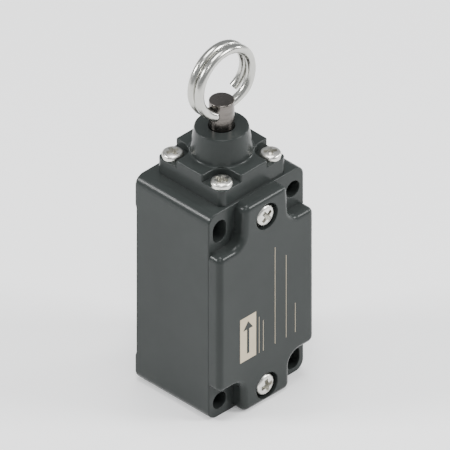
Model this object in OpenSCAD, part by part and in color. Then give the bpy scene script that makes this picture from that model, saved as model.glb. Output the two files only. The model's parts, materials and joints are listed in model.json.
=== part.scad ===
// Rope pull switch: a die-cast housing with a screwed front cover, a head that guides
// a sprung pull plunger with a split ring, and a double-break contact block inside.
// Units are millimetres. The origin is where the plunger's axis meets the housing's
// bottom face; +Z is up, -Y is the cover's side and +X is to the right of the cover.

/* [Housing] */
// Width of the housing
body_w = 39; // [38.4:0.2:41]
// Height of the housing
body_h = 72.2; // [71.8:0.1:75]
// Depth from the plunger's axis forward to the cover's seat
body_front = 14.2; // [14:0.1:16]
// Depth from the plunger's axis back to the rear pads
body_rear = 16.4; // [16.2:0.1:20]
// Corner radius of the housing, seen from the front
body_corner_r = 3.4; // [1:0.1:3.6]
// Radius of the upright rear edges
body_edge_r = 1; // [0.4:0.1:1.5]
// Thickness of the side walls beside the cavity
side_wall = 3.3; // [3:0.1:3.6]
// Thickness of the rear wall behind the cavity
rear_wall = 2.5; // [2:0.1:3]
// Depth of the relief between the rear pads
rear_relief = 1; // [0.5:0.1:1.4]
// Height of the lower rear pad
pad_low_h = 7.8; // [6:0.1:9]
// Height of the upper rear pad
pad_high_h = 8.7; // [7:0.1:9.5]
// Height of the slope from a pad down to the relief
pad_slope = 2.2; // [1:0.1:3]

/* [Fixing holes] */
// Distance of the fixing holes from the housing's sides, which sets their spacing across
fix_side = 4.5; // [4.4:0.05:5]
// Distance of the upper row of fixing holes from the housing's top, which sets their rows' spacing
fix_top = 6.75; // [6.5:0.05:7]
// Height of the lower row of fixing holes
fix_z0 = 5.45; // [5.3:0.05:6]
// Diameter of the round fixing holes and width of the slotted ones
fix_d = 5.3; // [4.3:0.1:5.5]
// End-to-end length of the slotted fixing holes
fix_slot_l = 7.3; // [6:0.1:8]

/* [Cable entry] */
// Bore of the cable entry, the core diameter of an M20 x 1.5 thread
entry_d = 18.38; // [14:0.02:18.8]
// Size of the chamfer at the entry's mouth
entry_chamfer = 0.4; // [0.2:0.1:0.4]

/* [Cover] */
// Height of the cover above its seat
cover_t = 4.5; // [4:0.1:6]
// Radius of the cover's front edge
cover_edge_r = 1.9; // [0.8:0.1:2]
// Thickness of the cover's front wall
cover_wall = 2.2; // [2:0.1:2.6]
// Distance from a row of fixing holes to the edge of the notch that clears it
notch_reach = 6.2; // [5.8:0.1:6.6]
// Distance from a fixing hole's axis to the side of the cover's tab
notch_side = 5.5; // [5:0.1:5.9]
// How much each side of the upper tab draws in towards its end
tab_taper = 0.8; // [0:0.1:1.2]
// Radius in a notch's inner corner
notch_r = 4; // [2:0.1:4.4]
// Radius of the cover's outer corners
cover_corner_r = 2.2; // [2.1:0.1:3]
// Width of the sealing land between the cavity and the notches
seal_land = 2.5; // [2.2:0.1:3]
// Width of the gaskets' strips
gasket_w = 1.2; // [0.8:0.1:1.4]
// Depth of the gaskets' grooves, which the gaskets fill
gasket_t = 1.2; // [0.8:0.1:1.4]

/* [Cover screws] */
// Head diameter of the cover screws
cover_screw_head_d = 7; // [6:0.1:7.4]
// Head height of the cover screws
cover_screw_head_h = 2.3; // [1.8:0.1:2.4]
// Shank diameter of the cover screws
cover_screw_d = 4; // [3:0.1:4]
// Diameter of the recess round a cover screw's head
cover_recess_d = 8.6; // [8.2:0.1:9.4]
// Shank length of the cover screws below their heads
cover_screw_l = 5.9; // [5.2:0.1:5.9]

/* [Head] */
// Width of the square head
head_w = 26.8; // [26:0.2:28.2]
// Height of the head's square part
head_h = 7.85; // [7.6:0.05:9]
// Corner radius of the head, seen from above
head_corner_r = 2; // [1:0.1:3]
// Diameter of the collar's foot
collar_foot_d = 18.6; // [18:0.1:19.4]
// Diameter of the collar's top
collar_top_d = 16.1; // [15:0.1:17]
// Height of the collar
collar_h = 8.55; // [8:0.05:10]
// Radius of the fillet round the collar's foot
collar_fillet_r = 0.8; // [0.3:0.1:0.9]
// Radius of the collar's top edge
collar_edge_r = 0.5; // [0.2:0.1:0.8]
// Distance of the head screws from the axis, along X and along Y
head_screw_xy = 10; // [9.9:0.05:10.1]
// Radius of the pocket round each head screw
pocket_r = 4.6; // [4.2:0.1:4.7]
// Depth of the pockets' floor below the head's top
pocket_depth = 2.45; // [2:0.05:3]
// Head diameter of the head screws
head_screw_head_d = 6.5; // [5.5:0.1:7]
// Head height of the head screws
head_screw_head_h = 1.9; // [1.5:0.1:2.2]
// Shank diameter of the head screws
head_screw_d = 3.5; // [3:0.1:3.6]
// Shank length of the head screws below their heads
head_screw_l = 14; // [10:0.5:15]

/* [Plunger] */
// Diameter of the pull plunger
plunger_d = 7.5; // [6.5:0.1:7.6]
// Height of the plunger's top above the collar
plunger_out = 9.15; // [9:0.05:10]
// Travel of the plunger
travel = 4; // [3:0.1:4.5]
// Diameter of the eye through the plunger
eye_d = 4.5; // [4.4:0.1:4.8]
// Distance from the plunger's top down to the eye's axis
eye_drop = 3.65; // [3.4:0.05:4]
// Diameter of the plunger's neck in the spring seat
neck_d = 5.5; // [4.6:0.1:5.5]
// Length of the neck's tail below the retaining clip
neck_tail = 1.9; // [1.5:0.1:2.2]
// Outer diameter of the spring chamber in the head
chamber_d = 13.2; // [12.8:0.1:13.4]
// Height of the spring chamber above the head's square part
chamber_rise = 1.95; // [1.5:0.05:2.4]
// Length of the guide bush
bush_l = 4.4; // [3.6:0.1:4.6]
// Outer diameter of the guide bush and the rod seal
bush_d = 11.2; // [10.4:0.1:11.4]
// Thickness of the rod seal
rod_seal_t = 1.3; // [0.8:0.1:1.4]
// Depth of the spring cup's floor below the head
cup_depth = 8; // [7.5:0.1:8.4]
// Wall of the spring cup
cup_wall = 1; // [0.8:0.1:1.2]
// Thickness of the spring seat
seat_t = 1.4; // [1:0.1:1.6]
// Thickness of the retaining clip
clip_t = 0.8; // [0.6:0.1:1]
// Wire diameter of the return spring
spring_wire_d = 1.2; // [0.8:0.1:1.3]
// Turns of the return spring
spring_turns = 7; // [5:0.5:8]

/* [Split ring] */
// Wire diameter of the split ring
ring_wire_d = 2.5; // [1.8:0.1:2.5]
// Diameter of the ring along the middle of its wire
ring_d = 20.4; // [19:0.2:22]

/* [Contact block] */
// Width of the contact block
block_w = 27; // [26:0.2:28]
// Depth of the block's base behind the plunger's axis
block_rear = 7.5; // [7:0.1:8]
// Depth of the block's cap in front of the plunger's axis
block_front = 5; // [4.9:0.1:5.6]
// Gap between the block and the top of the cavity
block_gap = 1.75; // [1:0.05:2]
// Height of the barriers between the terminals
barrier_h = 3.5; // [2:0.1:4]
// Width of the carriage
carriage_w = 6.8; // [6:0.1:7]
// Thickness of the contact bridges and the fixed contacts
strip_t = 0.8; // [0.6:0.1:1]
// Width of the contact bridges
bridge_w = 4; // [3:0.1:4.2]
// Height of the contact rivets
rivet_h = 0.4; // [0.3:0.05:0.5]
// Diameter of the contact rivets
rivet_d = 3; // [2:0.1:3]
// Distance of the contact rivets from the axis
rivet_x = 7; // [6.8:0.1:7.2]
// Length of the springs behind the bridges
bridge_spring_l = 3; // [2.5:0.1:3.2]
// Distance of the terminal and block screws from the block's sides
terminal_side = 3.7; // [3.5:0.1:3.9]
// Distance of the terminal screws from the fixed contacts
terminal_drop = 5; // [4.6:0.1:5]
// Shank diameter of the terminal and block screws
terminal_screw_d = 3; // [2.5:0.1:3]
// Head diameter of the terminal and block screws
terminal_head_d = 5.6; // [5:0.1:5.8]

/* [Earth terminal] */
// Height of the earth screw above the cavity's floor
earth_rise = 5.85; // [4.85:0.2:6.25]
// Height of the boss that carries the earth screw
earth_boss_h = 2.3; // [2:0.1:2.4]

/* [Clearances] */
// Radial clearance of the plunger in its bush and of the neck in its seat
run_gap = 0.08; // [0.04:0.01:0.1]
// Radial clearance of screws and pressed pieces in their holes
seat_gap = 0.03; // [0.02:0.01:0.05]
// Clearance between moving pieces and what they pass
pass_gap = 0.3; // [0.25:0.05:0.4]
// Clearance between flat faces that meet across a joint
face_gap = 0.1; // [0.05:0.01:0.15]

/* [Hidden] */
$fn = 64;
eps = 0.01;
// Overshoot of a cutting tool past the face that it opens
over = 1;

// Fixing holes and the cover's notches
fix_x = body_w / 2 - fix_side;
fix_z1 = body_h - fix_top;
tab_hw = fix_x - notch_side;
notch_z0 = fix_z0 + notch_reach;
notch_z1 = fix_z1 - notch_reach;

// Cavity of the housing
cavity_z0 = notch_z0 + seal_land;
cavity_z1 = notch_z1 - seal_land;
cavity_w = body_w - 2 * side_wall;
cavity_rear = body_rear - rear_relief - rear_wall;
cavity_corner_r = 2.5;
// Step of the cover's hollow inside the cavity's outline
cover_lip = 0.5;

// Levels of the head and the plunger
head_top = body_h + head_h;
collar_top = head_top + collar_h;
plunger_top = collar_top + plunger_out;
eye_z = plunger_top - eye_drop;
ring_z = eye_z + ring_d / 2;
chamber_top = head_top + chamber_rise;
bush_top = chamber_top + bush_l;
rod_seal_top = bush_top + rod_seal_t;
pocket_z = head_top - pocket_depth;

// Spring cup, seat, clip and neck
cup_floor_t = 1.2;
cup_flange_t = gasket_t;
cup_flange_reach = 2.6;
cup_flange_d = chamber_d + 2 * cup_flange_reach;
cup_hole_gap = 1.85;
cup_hole_d = neck_d + 2 * cup_hole_gap;
cup_d = chamber_d + 2 * cup_wall;
cup_floor_z = body_h - cup_depth;
cup_bore_d = cup_d + 2 * pass_gap;
cup_bore_z = cup_floor_z - cup_floor_t - pass_gap;
stem_bore_d = cup_hole_d + 2 * pass_gap;
seat_z0 = cup_floor_z + face_gap;
seat_z1 = seat_z0 + seat_t;
seat_d = chamber_d - 2 * pass_gap;
shoulder_z = seat_z1 + face_gap;
clip_z1 = seat_z0 - face_gap;
clip_z0 = clip_z1 - clip_t;
clip_reach = 1.35;
clip_d = neck_d + 2 * clip_reach;
groove_depth = 0.55;
groove_d = neck_d - 2 * groove_depth;
tail_z = clip_z0 - neck_tail;
spring_r = (plunger_d + chamber_d) / 4;
gasket_ring_d = cup_flange_d + 2 * pass_gap;

// Contact block, from the top of the cavity down
block_z1 = cavity_z1 - block_gap;
carriage_margin = 0.9;
carriage_z1 = block_z1 - travel - carriage_margin;
bar_t = 1.2;
nc_window_z1 = carriage_z1 - bar_t;
nc_strip_z1 = nc_window_z1 - bridge_spring_l;
nc_strip_z0 = nc_strip_z1 - strip_t;
nc_leg_z1 = nc_strip_z0 - 2 * rivet_h - face_gap;
nc_leg_z0 = nc_leg_z1 - strip_t;
leg_gap = 2;
no_leg_z1 = nc_leg_z0 - leg_gap;
no_leg_z0 = no_leg_z1 - strip_t;
no_strip_z1 = no_leg_z0 - 2 * rivet_h - travel - pass_gap;
no_strip_z0 = no_strip_z1 - strip_t;
no_window_z0 = no_strip_z0 - bridge_spring_l;
carriage_z0 = no_window_z0 - bar_t;
follower_l = 3;
follower_z = carriage_z0 - follower_l;
block_floor = 1.2;
block_z0 = follower_z - block_floor;
stem_top = tail_z - 2 * face_gap;
carriage_stem_d = 4.8;

// Chambers inside the block
guide_gap = 0.3;
window_gap = 0.2;
guide_w = carriage_w + 2 * guide_gap;
rivet_margin = 0.1;
bridge_hl = rivet_x + rivet_d / 2 - rivet_margin;
chamber_gap = 0.6;
bridge_room = bridge_hl + chamber_gap;
bridge_side_gap = 0.9;
contact_side_gap = 0.4;
bridge_depth = bridge_w / 2 + bridge_side_gap;
contact_depth = bridge_w / 2 + contact_side_gap;

// Terminals
terminal_x = block_w / 2 - terminal_side;
leg_x0 = rivet_x - rivet_d / 2 + rivet_margin;
leg_reach = 2.8;
leg_x1 = terminal_x + leg_reach;
plate_hw = 3;
plate_x0 = terminal_x - plate_hw;
plate_x1 = terminal_x + plate_hw;
plate_t = 1;
plate_half = 3.4;
no_screw_z = no_leg_z0 - terminal_drop;
nc_screw_z = nc_leg_z1 + terminal_drop;
clamp_w = 6;
clamp_t = 0.9;
terminal_head_h = 1.9;
terminal_bite = 1.5;
block_screw_z = block_z0 + terminal_head_d / 2;
block_screw_bite = 4.6;
block_screw_l = block_front + block_rear + block_screw_bite;
boss_d = 6.4;
channel_w = 4.8;
channel_web = 2.4;
channel_margin = 5;
barrier_gap = 0.7;
boss_drop = 4;
boss_z1 = block_z1 - boss_drop;

// Earth terminal
earth_z = cavity_z0 + earth_rise;
earth_boss_d = 7.2;
earth_clamp_w = 7;
earth_clamp_t = 0.9;
earth_face = cavity_rear - earth_boss_h;
earth_wall_bite = 1.2;
earth_bite = earth_boss_h + earth_wall_bite;

// Screw holes and the spare depth past each screw's end
screw_gap = 0.5;
thread_spare = 0.3;
cover_thread_l = cover_screw_l - (cover_t - cover_screw_head_h) + thread_spare;
block_thread_l = block_screw_l - block_rear - block_front + thread_spare;
head_thread_z = pocket_z - head_screw_l - thread_spare;

// Points in each rounded corner of the cover's outline and in its front edge
corner_steps = 5;

// Colours
cast_grey = [0.31, 0.33, 0.33];
screw_steel = [0.74, 0.74, 0.72];
plunger_grey = [0.5, 0.48, 0.45];
nickel = [0.8, 0.8, 0.77];
rubber_black = [0.1, 0.1, 0.1];
bronze = [0.63, 0.46, 0.26];
spring_steel = [0.6, 0.61, 0.62];
block_cream = [0.85, 0.82, 0.74];
block_grey = [0.25, 0.27, 0.29];
copper = [0.76, 0.5, 0.32];
brass = [0.78, 0.66, 0.36];

// ---------------------------------------------------------------- building blocks

// Local x and y become X and Z, and local z points out of the cover
module facing_front() {
  rotate([90, 0, 0]) children();
}

// Rectangle centred on the origin with round corners
module round_rect(w, h, r) {
  square([w - 2 * r, h], center = true);
  square([w, h - 2 * r], center = true);
  for (x = [-1, 1], y = [-1, 1])
    translate([x * (w / 2 - r), y * (h / 2 - r)]) circle(r);
}

// Straight slot with round ends, along local y
module slot(width, length) {
  square([width, length - width], center = true);
  for (y = [-1, 1])
    translate([0, y * (length - width) / 2]) circle(d = width);
}

// Tube about Z
module tube(outer_d, inner_d, h) {
  difference() {
    cylinder(d = outer_d, h = h);
    translate([0, 0, -over]) cylinder(d = inner_d, h = h + 2 * over);
  }
}

// Pan-head screw about Z with a cross recess; its head's seat lies at z = 0
module pan_screw(head_d, head_h, shank_d, shank_l) {
  edge = head_h * 0.45;
  recess_w = head_d * 0.17;
  recess_l = head_d * 0.58;
  difference() {
    rotate_extrude() {
      square([head_d / 2 - edge, head_h]);
      square([head_d / 2, head_h - edge]);
      intersection() {
        translate([head_d / 2 - edge, head_h - edge]) circle(edge);
        square([head_d, head_h]);
      }
    }
    for (turn = [0, 90])
      rotate(turn)
        translate([-recess_l / 2, -recess_w / 2, head_h * 0.4])
          cube([recess_l, recess_w, head_h]);
  }
  translate([0, 0, -shank_l]) cylinder(d = shank_d, h = shank_l + eps);
}

function unit(v) = v / norm(v);
function turned(v, a) = [v.x * cos(a) - v.y * sin(a), v.x * sin(a) + v.y * cos(a)];

// Outline through corners given anticlockwise as [x, y, radius], every corner rounded,
// drawn in by inset all round
function rounded_outline(corners, inset, steps) = [
  for (i = [0 : len(corners) - 1])
    let (
      n = len(corners),
      here = [corners[i].x, corners[i].y],
      before = corners[(i + n - 1) % n],
      after = corners[(i + 1) % n],
      d0 = unit(here - [before.x, before.y]),
      d1 = unit([after.x, after.y] - here),
      n0 = [-d0.y, d0.x],
      n1 = [-d1.y, d1.x],
      bend = atan2(cross(d0, d1), d0 * d1),
      side = sign(bend),
      r = corners[i][2],
      centre = here + side * r * (n0 + n1) / (1 + n0 * n1)
    )
    for (k = [0 : steps]) centre - (side * r - inset) * turned(n0, bend * k / steps)
];

// Closed solid through rings of points, given from the bottom up and each anticlockwise
module loft(rings) {
  n = len(rings[0]);
  last = len(rings) - 1;
  polyhedron(
    points = [for (ring = rings) each ring],
    faces = [
      [for (i = [0 : n - 1]) i],
      for (k = [0 : last - 1], i = [0 : n - 1])
        let (a = k * n + i, b = k * n + (i + 1) % n)
        each [[a, a + n, b + n], [a, b + n, b]],
      [for (i = [n - 1 : -1 : 0]) last * n + i]
    ]
  );
}

// Closed band through rings of points, the last ring joined to the first
module band(rings) {
  n = len(rings[0]);
  count = len(rings);
  polyhedron(
    points = [for (ring = rings) each ring],
    faces = [
      for (k = [0 : count - 1], i = [0 : n - 1])
        let (
          a = k * n + i, b = k * n + (i + 1) % n,
          c = (k + 1) % count * n + i, d = (k + 1) % count * n + (i + 1) % n
        )
        each [[a, c, d], [a, d, b]]
    ]
  );
}

// Rings of a round wire along a path; the axis is a direction that the path never takes
function wire_rings(path, d, sides, axis) = [
  for (i = [0 : len(path) - 1])
    let (
      t = unit(path[min(i + 1, len(path) - 1)] - path[max(i - 1, 0)]),
      u = unit(cross(t, axis)),
      v = cross(t, u)
    )
    [for (k = [0 : sides - 1]) path[i] + d / 2 * (cos(k * 360 / sides) * u + sin(k * 360 / sides) * v)]
];

// Helical spring about Z with flattened end turns
function coil_path(r, wire, length, turns, steps) = [
  for (k = [0 : turns * steps])
    let (
      f = k / (turns * steps),
      rise = length - wire,
      closed = 1 / turns,
      lift = f < closed ? 0 : f > 1 - closed ? 1 : (f - closed) / (1 - 2 * closed)
    )
    [r * cos(360 * k / steps), r * sin(360 * k / steps), wire / 2 + wire * (f < closed ? f / closed : 1)
      + (rise - 2 * wire) * lift + wire * (f > 1 - closed ? (f - 1 + closed) / closed : 0)]
];

module coil_spring(r, wire, length, turns) {
  loft(wire_rings(coil_path(r, wire, length, turns, 14), wire, 6, [0, 0, 1]));
}

// ---------------------------------------------------------------- housing and cover

module fixing_holes() {
  length = body_front + body_rear + 2 * over;
  for (side = [-1, 1], row = [0, 1])
    translate([side * fix_x, row == 0 ? fix_z0 : fix_z1, -body_rear - over])
      linear_extrude(length)
        if (side * (row - 0.5) < 0) slot(fix_d, fix_slot_l);
        else circle(d = fix_d);
}

// Ring of gasket strip in the middle of the sealing land, drawn in by gap on both sides
module gasket_outline(gap = 0) {
  inner = (seal_land - gasket_w) / 2 + gap;
  outer = (seal_land + gasket_w) / 2 - gap;
  difference() {
    cavity_grown(outer);
    cavity_grown(inner);
  }
}

module cavity_grown(grow) {
  round_rect(cavity_w + 2 * grow, cavity_z1 - cavity_z0 + 2 * grow, cavity_corner_r + grow);
}

module cavity_centre() {
  translate([0, (cavity_z0 + cavity_z1) / 2]) children();
}

// Side view of the housing with the relief between its rear pads
module side_profile() {
  polygon([
    [-body_front, 0], [body_rear, 0], [body_rear, pad_low_h],
    [body_rear - rear_relief, pad_low_h + pad_slope],
    [body_rear - rear_relief, body_h - pad_high_h - pad_slope],
    [body_rear, body_h - pad_high_h], [body_rear, body_h], [-body_front, body_h]
  ]);
}

// Plan view of the housing with round rear corners
module plan_profile() {
  r = body_edge_r;
  depth = body_front + body_rear;
  translate([-body_w / 2, -body_front]) square([body_w, depth - r]);
  translate([-body_w / 2 + r, -body_front]) square([body_w - 2 * r, depth]);
  for (side = [-1, 1])
    translate([side * (body_w / 2 - r), body_rear - r]) circle(r);
}

module housing_block() {
  intersection() {
    facing_front()
      translate([0, body_h / 2, -body_rear])
        linear_extrude(body_front + body_rear) round_rect(body_w, body_h, body_corner_r);
    translate([0, 0, -over]) linear_extrude(body_h + 2 * over) plan_profile();
    translate([-body_w / 2 - over, 0, 0])
      rotate([90, 0, 90]) linear_extrude(body_w + 2 * over) side_profile();
  }
}

// Posts on the rear wall: two take the block's screws and two only seat it
module block_posts() {
  length = cavity_rear - block_rear + over;
  for (side = [-1, 1], z = [block_screw_z, boss_z1])
    translate([side * terminal_x, z, -cavity_rear - over])
      cylinder(d = boss_d, h = length);
}

module earth_post() {
  translate([0, earth_z, -cavity_rear - over])
    cylinder(d = earth_boss_d, h = earth_boss_h + over);
}

module housing() {
  color(cast_grey)
    difference() {
      union() {
        difference() {
          housing_block();
          facing_front()
            cavity_centre()
              translate([0, 0, -cavity_rear])
                linear_extrude(cavity_rear + body_front + over) cavity_grown(0);
        }
        facing_front() {
          block_posts();
          earth_post();
        }
      }
      facing_front() {
        fixing_holes();
        translate([0, 0, body_front - gasket_t])
          linear_extrude(gasket_t + over) cavity_centre() gasket_outline();
        for (z = [fix_z0, fix_z1])
          translate([0, z, body_front - cover_thread_l])
            cylinder(d = cover_screw_d + 2 * seat_gap, h = cover_thread_l + over);
        for (side = [-1, 1])
          translate([side * terminal_x, block_screw_z, -block_rear - block_thread_l])
            cylinder(d = terminal_screw_d + 2 * seat_gap, h = block_thread_l + over);
        translate([0, earth_z, -earth_face - earth_bite - thread_spare])
          cylinder(d = head_screw_d + 2 * seat_gap, h = earth_bite + over);
      }
      // Cable entry
      translate([0, 0, -over]) cylinder(d = entry_d, h = cavity_z0 + 2 * over);
      translate([0, 0, -eps])
        cylinder(d1 = entry_d + 2 * entry_chamfer, d2 = entry_d, h = entry_chamfer);
      // Stepped bore for the spring cup and the plunger's tail
      translate([0, 0, cup_bore_z]) cylinder(d = cup_bore_d, h = body_h);
      translate([0, 0, cavity_z1 - over]) cylinder(d = stem_bore_d, h = body_h);
      // Threads of the head screws
      for (x = [-1, 1], y = [-1, 1])
        translate([x * head_screw_xy, y * head_screw_xy, head_thread_z])
          cylinder(d = head_screw_d + 2 * seat_gap, h = body_h);
    }
}

// Corners of the cover's right half from the bottom up, as [x, z, radius]
cover_half = [
  [tab_hw, 0, cover_corner_r],
  [tab_hw, notch_z0, notch_r],
  [body_w / 2, notch_z0, cover_corner_r],
  [body_w / 2, notch_z1, cover_corner_r],
  [tab_hw, notch_z1, notch_r],
  [tab_hw - tab_taper, body_h, cover_corner_r]
];
cover_corners = [
  each cover_half,
  for (i = [len(cover_half) - 1 : -1 : 0]) [-cover_half[i].x, cover_half[i].y, cover_half[i][2]]
];

function cover_ring(inset, height) = [
  for (p = rounded_outline(cover_corners, inset, corner_steps)) [p.x, p.y, height]
];

module cover_screw_places() {
  for (z = [fix_z0, fix_z1])
    translate([0, z, 0]) children();
}

// Cutter that rounds the cover's front edge: a closed band round its outline, whose
// inner side is the edge's arc with its end chords run on past both faces
module cover_edge_cutter() {
  steps = 5;
  run_on = 0.3;
  arc = [for (k = [0 : steps])
    [cover_edge_r * (1 - cos(90 * k / steps)), cover_t - cover_edge_r * (1 - sin(90 * k / steps))]];
  first = arc[0] + run_on * (arc[0] - arc[1]);
  last = arc[steps] + run_on * (arc[steps] - arc[steps - 1]);
  section = [
    [-over, first.y], [-over, cover_t + over], [last.x, cover_t + over], last,
    for (k = [steps - 1 : -1 : 1]) arc[k],
    first
  ];
  band([for (p = section) cover_ring(p.x, p.y)]);
}

module cover() {
  seat = cover_t - cover_screw_head_h;
  color(cast_grey)
    facing_front()
      translate([0, 0, body_front])
        difference() {
          linear_extrude(cover_t) polygon(rounded_outline(cover_corners, 0, corner_steps));
          cover_edge_cutter();
          translate([0, 0, -over])
            linear_extrude(cover_t - cover_wall + over)
              cavity_centre()
                cavity_grown(-cover_lip);
          cover_screw_places() {
            translate([0, 0, seat]) cylinder(d = cover_recess_d, h = cover_t);
            translate([0, 0, -over]) cylinder(d = cover_screw_d + screw_gap, h = cover_t);
          }
        }
}

module cover_gasket() {
  color(rubber_black)
    facing_front()
      translate([0, 0, body_front - gasket_t])
        linear_extrude(gasket_t) cavity_centre() gasket_outline(seat_gap);
}

module cover_screws() {
  color(screw_steel)
    facing_front()
      translate([0, 0, body_front + cover_t - cover_screw_head_h])
        cover_screw_places()
          pan_screw(cover_screw_head_d, cover_screw_head_h, cover_screw_d, cover_screw_l);
}

// ---------------------------------------------------------------- head

module head_screw_places() {
  for (x = [-1, 1], y = [-1, 1])
    translate([x * head_screw_xy, y * head_screw_xy, pocket_z]) children();
}

// Pocket that opens past the head's two nearest sides, in the corner at +X +Y
module pocket_outline() {
  near = head_screw_xy - pocket_r;
  reach = head_w / 2 + over;
  translate([head_screw_xy, head_screw_xy]) circle(pocket_r);
  translate([near, head_screw_xy]) square([reach - near, reach - head_screw_xy]);
  translate([head_screw_xy, near]) square([reach - head_screw_xy, reach - near]);
}

// Half section of the collar, with a fillet at its foot and a round top edge
module collar_section() {
  foot_r = collar_foot_d / 2;
  top_r = collar_top_d / 2;
  edge_z = collar_h - collar_edge_r;
  difference() {
    union() {
      polygon([
        [0, 0], [foot_r + collar_fillet_r, 0], [foot_r, collar_fillet_r],
        [top_r, edge_z], [top_r - collar_edge_r, collar_h], [0, collar_h]
      ]);
      translate([top_r - collar_edge_r, edge_z]) circle(collar_edge_r);
    }
    translate([foot_r + collar_fillet_r, collar_fillet_r]) circle(collar_fillet_r);
  }
}

module head() {
  color(cast_grey)
    difference() {
      union() {
        translate([0, 0, body_h]) linear_extrude(head_h) round_rect(head_w, head_w, head_corner_r);
        translate([0, 0, head_top]) rotate_extrude() collar_section();
      }
      for (x = [0, 1], y = [0, 1])
        mirror([x, 0, 0]) mirror([0, y, 0])
          translate([0, 0, pocket_z]) linear_extrude(head_h) pocket_outline();
      for (x = [-1, 1], y = [-1, 1])
        translate([x * head_screw_xy, y * head_screw_xy, body_h - over])
          cylinder(d = head_screw_d + screw_gap, h = head_h);
      // Recess for the spring cup's flange and the gasket
      translate([0, 0, body_h - over])
        cylinder(d = gasket_ring_d + 2 * gasket_w + 2 * seat_gap, h = gasket_t + over);
      translate([0, 0, body_h - over]) cylinder(d = chamber_d, h = chamber_top - body_h + over);
      translate([0, 0, body_h]) cylinder(d = bush_d + 2 * seat_gap, h = rod_seal_top - body_h);
      translate([0, 0, body_h]) cylinder(d = plunger_d + 2 * pass_gap, h = collar_top);
    }
}

module head_gasket() {
  color(rubber_black)
    translate([0, 0, body_h]) tube(gasket_ring_d + 2 * gasket_w, gasket_ring_d, gasket_t);
}

module head_screws() {
  color(screw_steel)
    head_screw_places()
      pan_screw(head_screw_head_d, head_screw_head_h, head_screw_d, head_screw_l);
}

// Cup that hangs from the head into the housing and carries the spring seat
module spring_cup() {
  color(brass)
    difference() {
      union() {
        translate([0, 0, body_h]) cylinder(d = cup_flange_d, h = cup_flange_t);
        translate([0, 0, cup_floor_z - cup_floor_t])
          cylinder(d = cup_d, h = cup_depth + cup_floor_t + eps);
      }
      translate([0, 0, cup_floor_z]) cylinder(d = chamber_d, h = cup_depth + cup_flange_t + over);
      translate([0, 0, cup_floor_z - cup_floor_t - over]) cylinder(d = cup_hole_d, h = 2 * over + cup_floor_t);
    }
}

module guide_bush() {
  color(bronze)
    translate([0, 0, chamber_top]) tube(bush_d, plunger_d + 2 * run_gap, bush_l);
}

module rod_seal() {
  bore_d = plunger_d + 2 * pass_gap;
  lip = 0.6;
  color(rubber_black)
    translate([0, 0, bush_top])
      difference() {
        cylinder(d = bush_d, h = rod_seal_t);
        translate([0, 0, -over]) cylinder(d = bore_d, h = rod_seal_t + 2 * over);
        translate([0, 0, -eps])
          cylinder(d1 = bore_d + 2 * lip, d2 = bore_d, h = lip);
      }
}

// ---------------------------------------------------------------- plunger and ring

module pull_plunger() {
  edge = 0.4;
  color(plunger_grey)
    difference() {
      union() {
        translate([0, 0, shoulder_z])
          rotate_extrude() {
            square([plunger_d / 2 - edge, plunger_top - shoulder_z]);
            square([plunger_d / 2, plunger_top - shoulder_z - edge]);
            intersection() {
              translate([plunger_d / 2 - edge, plunger_top - shoulder_z - edge]) circle(edge);
              square([plunger_d, plunger_top]);
            }
          }
        translate([0, 0, tail_z]) cylinder(d = neck_d, h = shoulder_z - tail_z + eps);
      }
      translate([-plunger_d, 0, eye_z]) rotate([0, 90, 0]) cylinder(d = eye_d, h = 2 * plunger_d);
      // Groove of the retaining clip
      translate([0, 0, clip_z0 - face_gap / 2])
        tube(neck_d + over, groove_d, clip_t + face_gap);
    }
}

// Open clip pushed into the neck's groove from the side
module retaining_clip() {
  mouth = groove_d * 0.8;
  color(spring_steel)
    translate([0, 0, clip_z0])
      difference() {
        tube(clip_d, groove_d + 2 * seat_gap, clip_t);
        translate([-mouth / 2, 0, -over]) cube([mouth, clip_d, clip_t + 2 * over]);
      }
}

module spring_seat() {
  color(spring_steel)
    translate([0, 0, seat_z0])
      difference() {
        cylinder(d = seat_d, h = seat_t);
        translate([0, 0, -over]) cylinder(d = neck_d + 2 * run_gap, h = seat_t + 2 * over);
      }
}

module return_spring() {
  color(spring_steel)
    translate([0, 0, seat_z1 + face_gap])
      coil_spring(spring_r, spring_wire_d, chamber_top - seat_z1 - 2 * face_gap, spring_turns);
}

// Path of the split ring: the front turn starts at the lower left, runs over the top,
// crosses to the rear turn inside the plunger's eye and ends at the lower right
ring_start_angle = -118;
ring_end_angle = -25 - 2 * 360;
// Middle and half the span of the stretch where the wire crosses between the turns
ring_cross_angle = -90 - 360;
ring_cross_half_angle = 60;
// The splayed end of the front turn leaves its line over this much
ring_splay_angle = 37;
// Half the gap between the two turns
ring_turn_gap = 0.03;
ring_layer = ring_wire_d / 2 + ring_turn_gap;
ring_splay = 0.38 * ring_wire_d;

function ring_layer_y(a) =
  let (
    u = max(-1, min(1, (ring_cross_angle - a) / ring_cross_half_angle)),
    splay = max(0, min(1, (a - ring_start_angle) / ring_splay_angle + 1))
  )
  ring_layer * sign(u) * pow(abs(sin(90 * u)), 3) - ring_splay * splay * splay * (3 - 2 * splay);

function ring_point(a) = [
  ring_d / 2 * cos(a), ring_layer_y(a), ring_z + ring_d / 2 * sin(a)
];

module split_ring() {
  steps = 90;
  color(nickel)
    loft(wire_rings([
      for (k = [0 : steps])
        ring_point(ring_start_angle + (ring_end_angle - ring_start_angle) * k / steps)
    ], ring_wire_d, 12, [0, 1, 0]));
}

// ---------------------------------------------------------------- contact block

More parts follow.
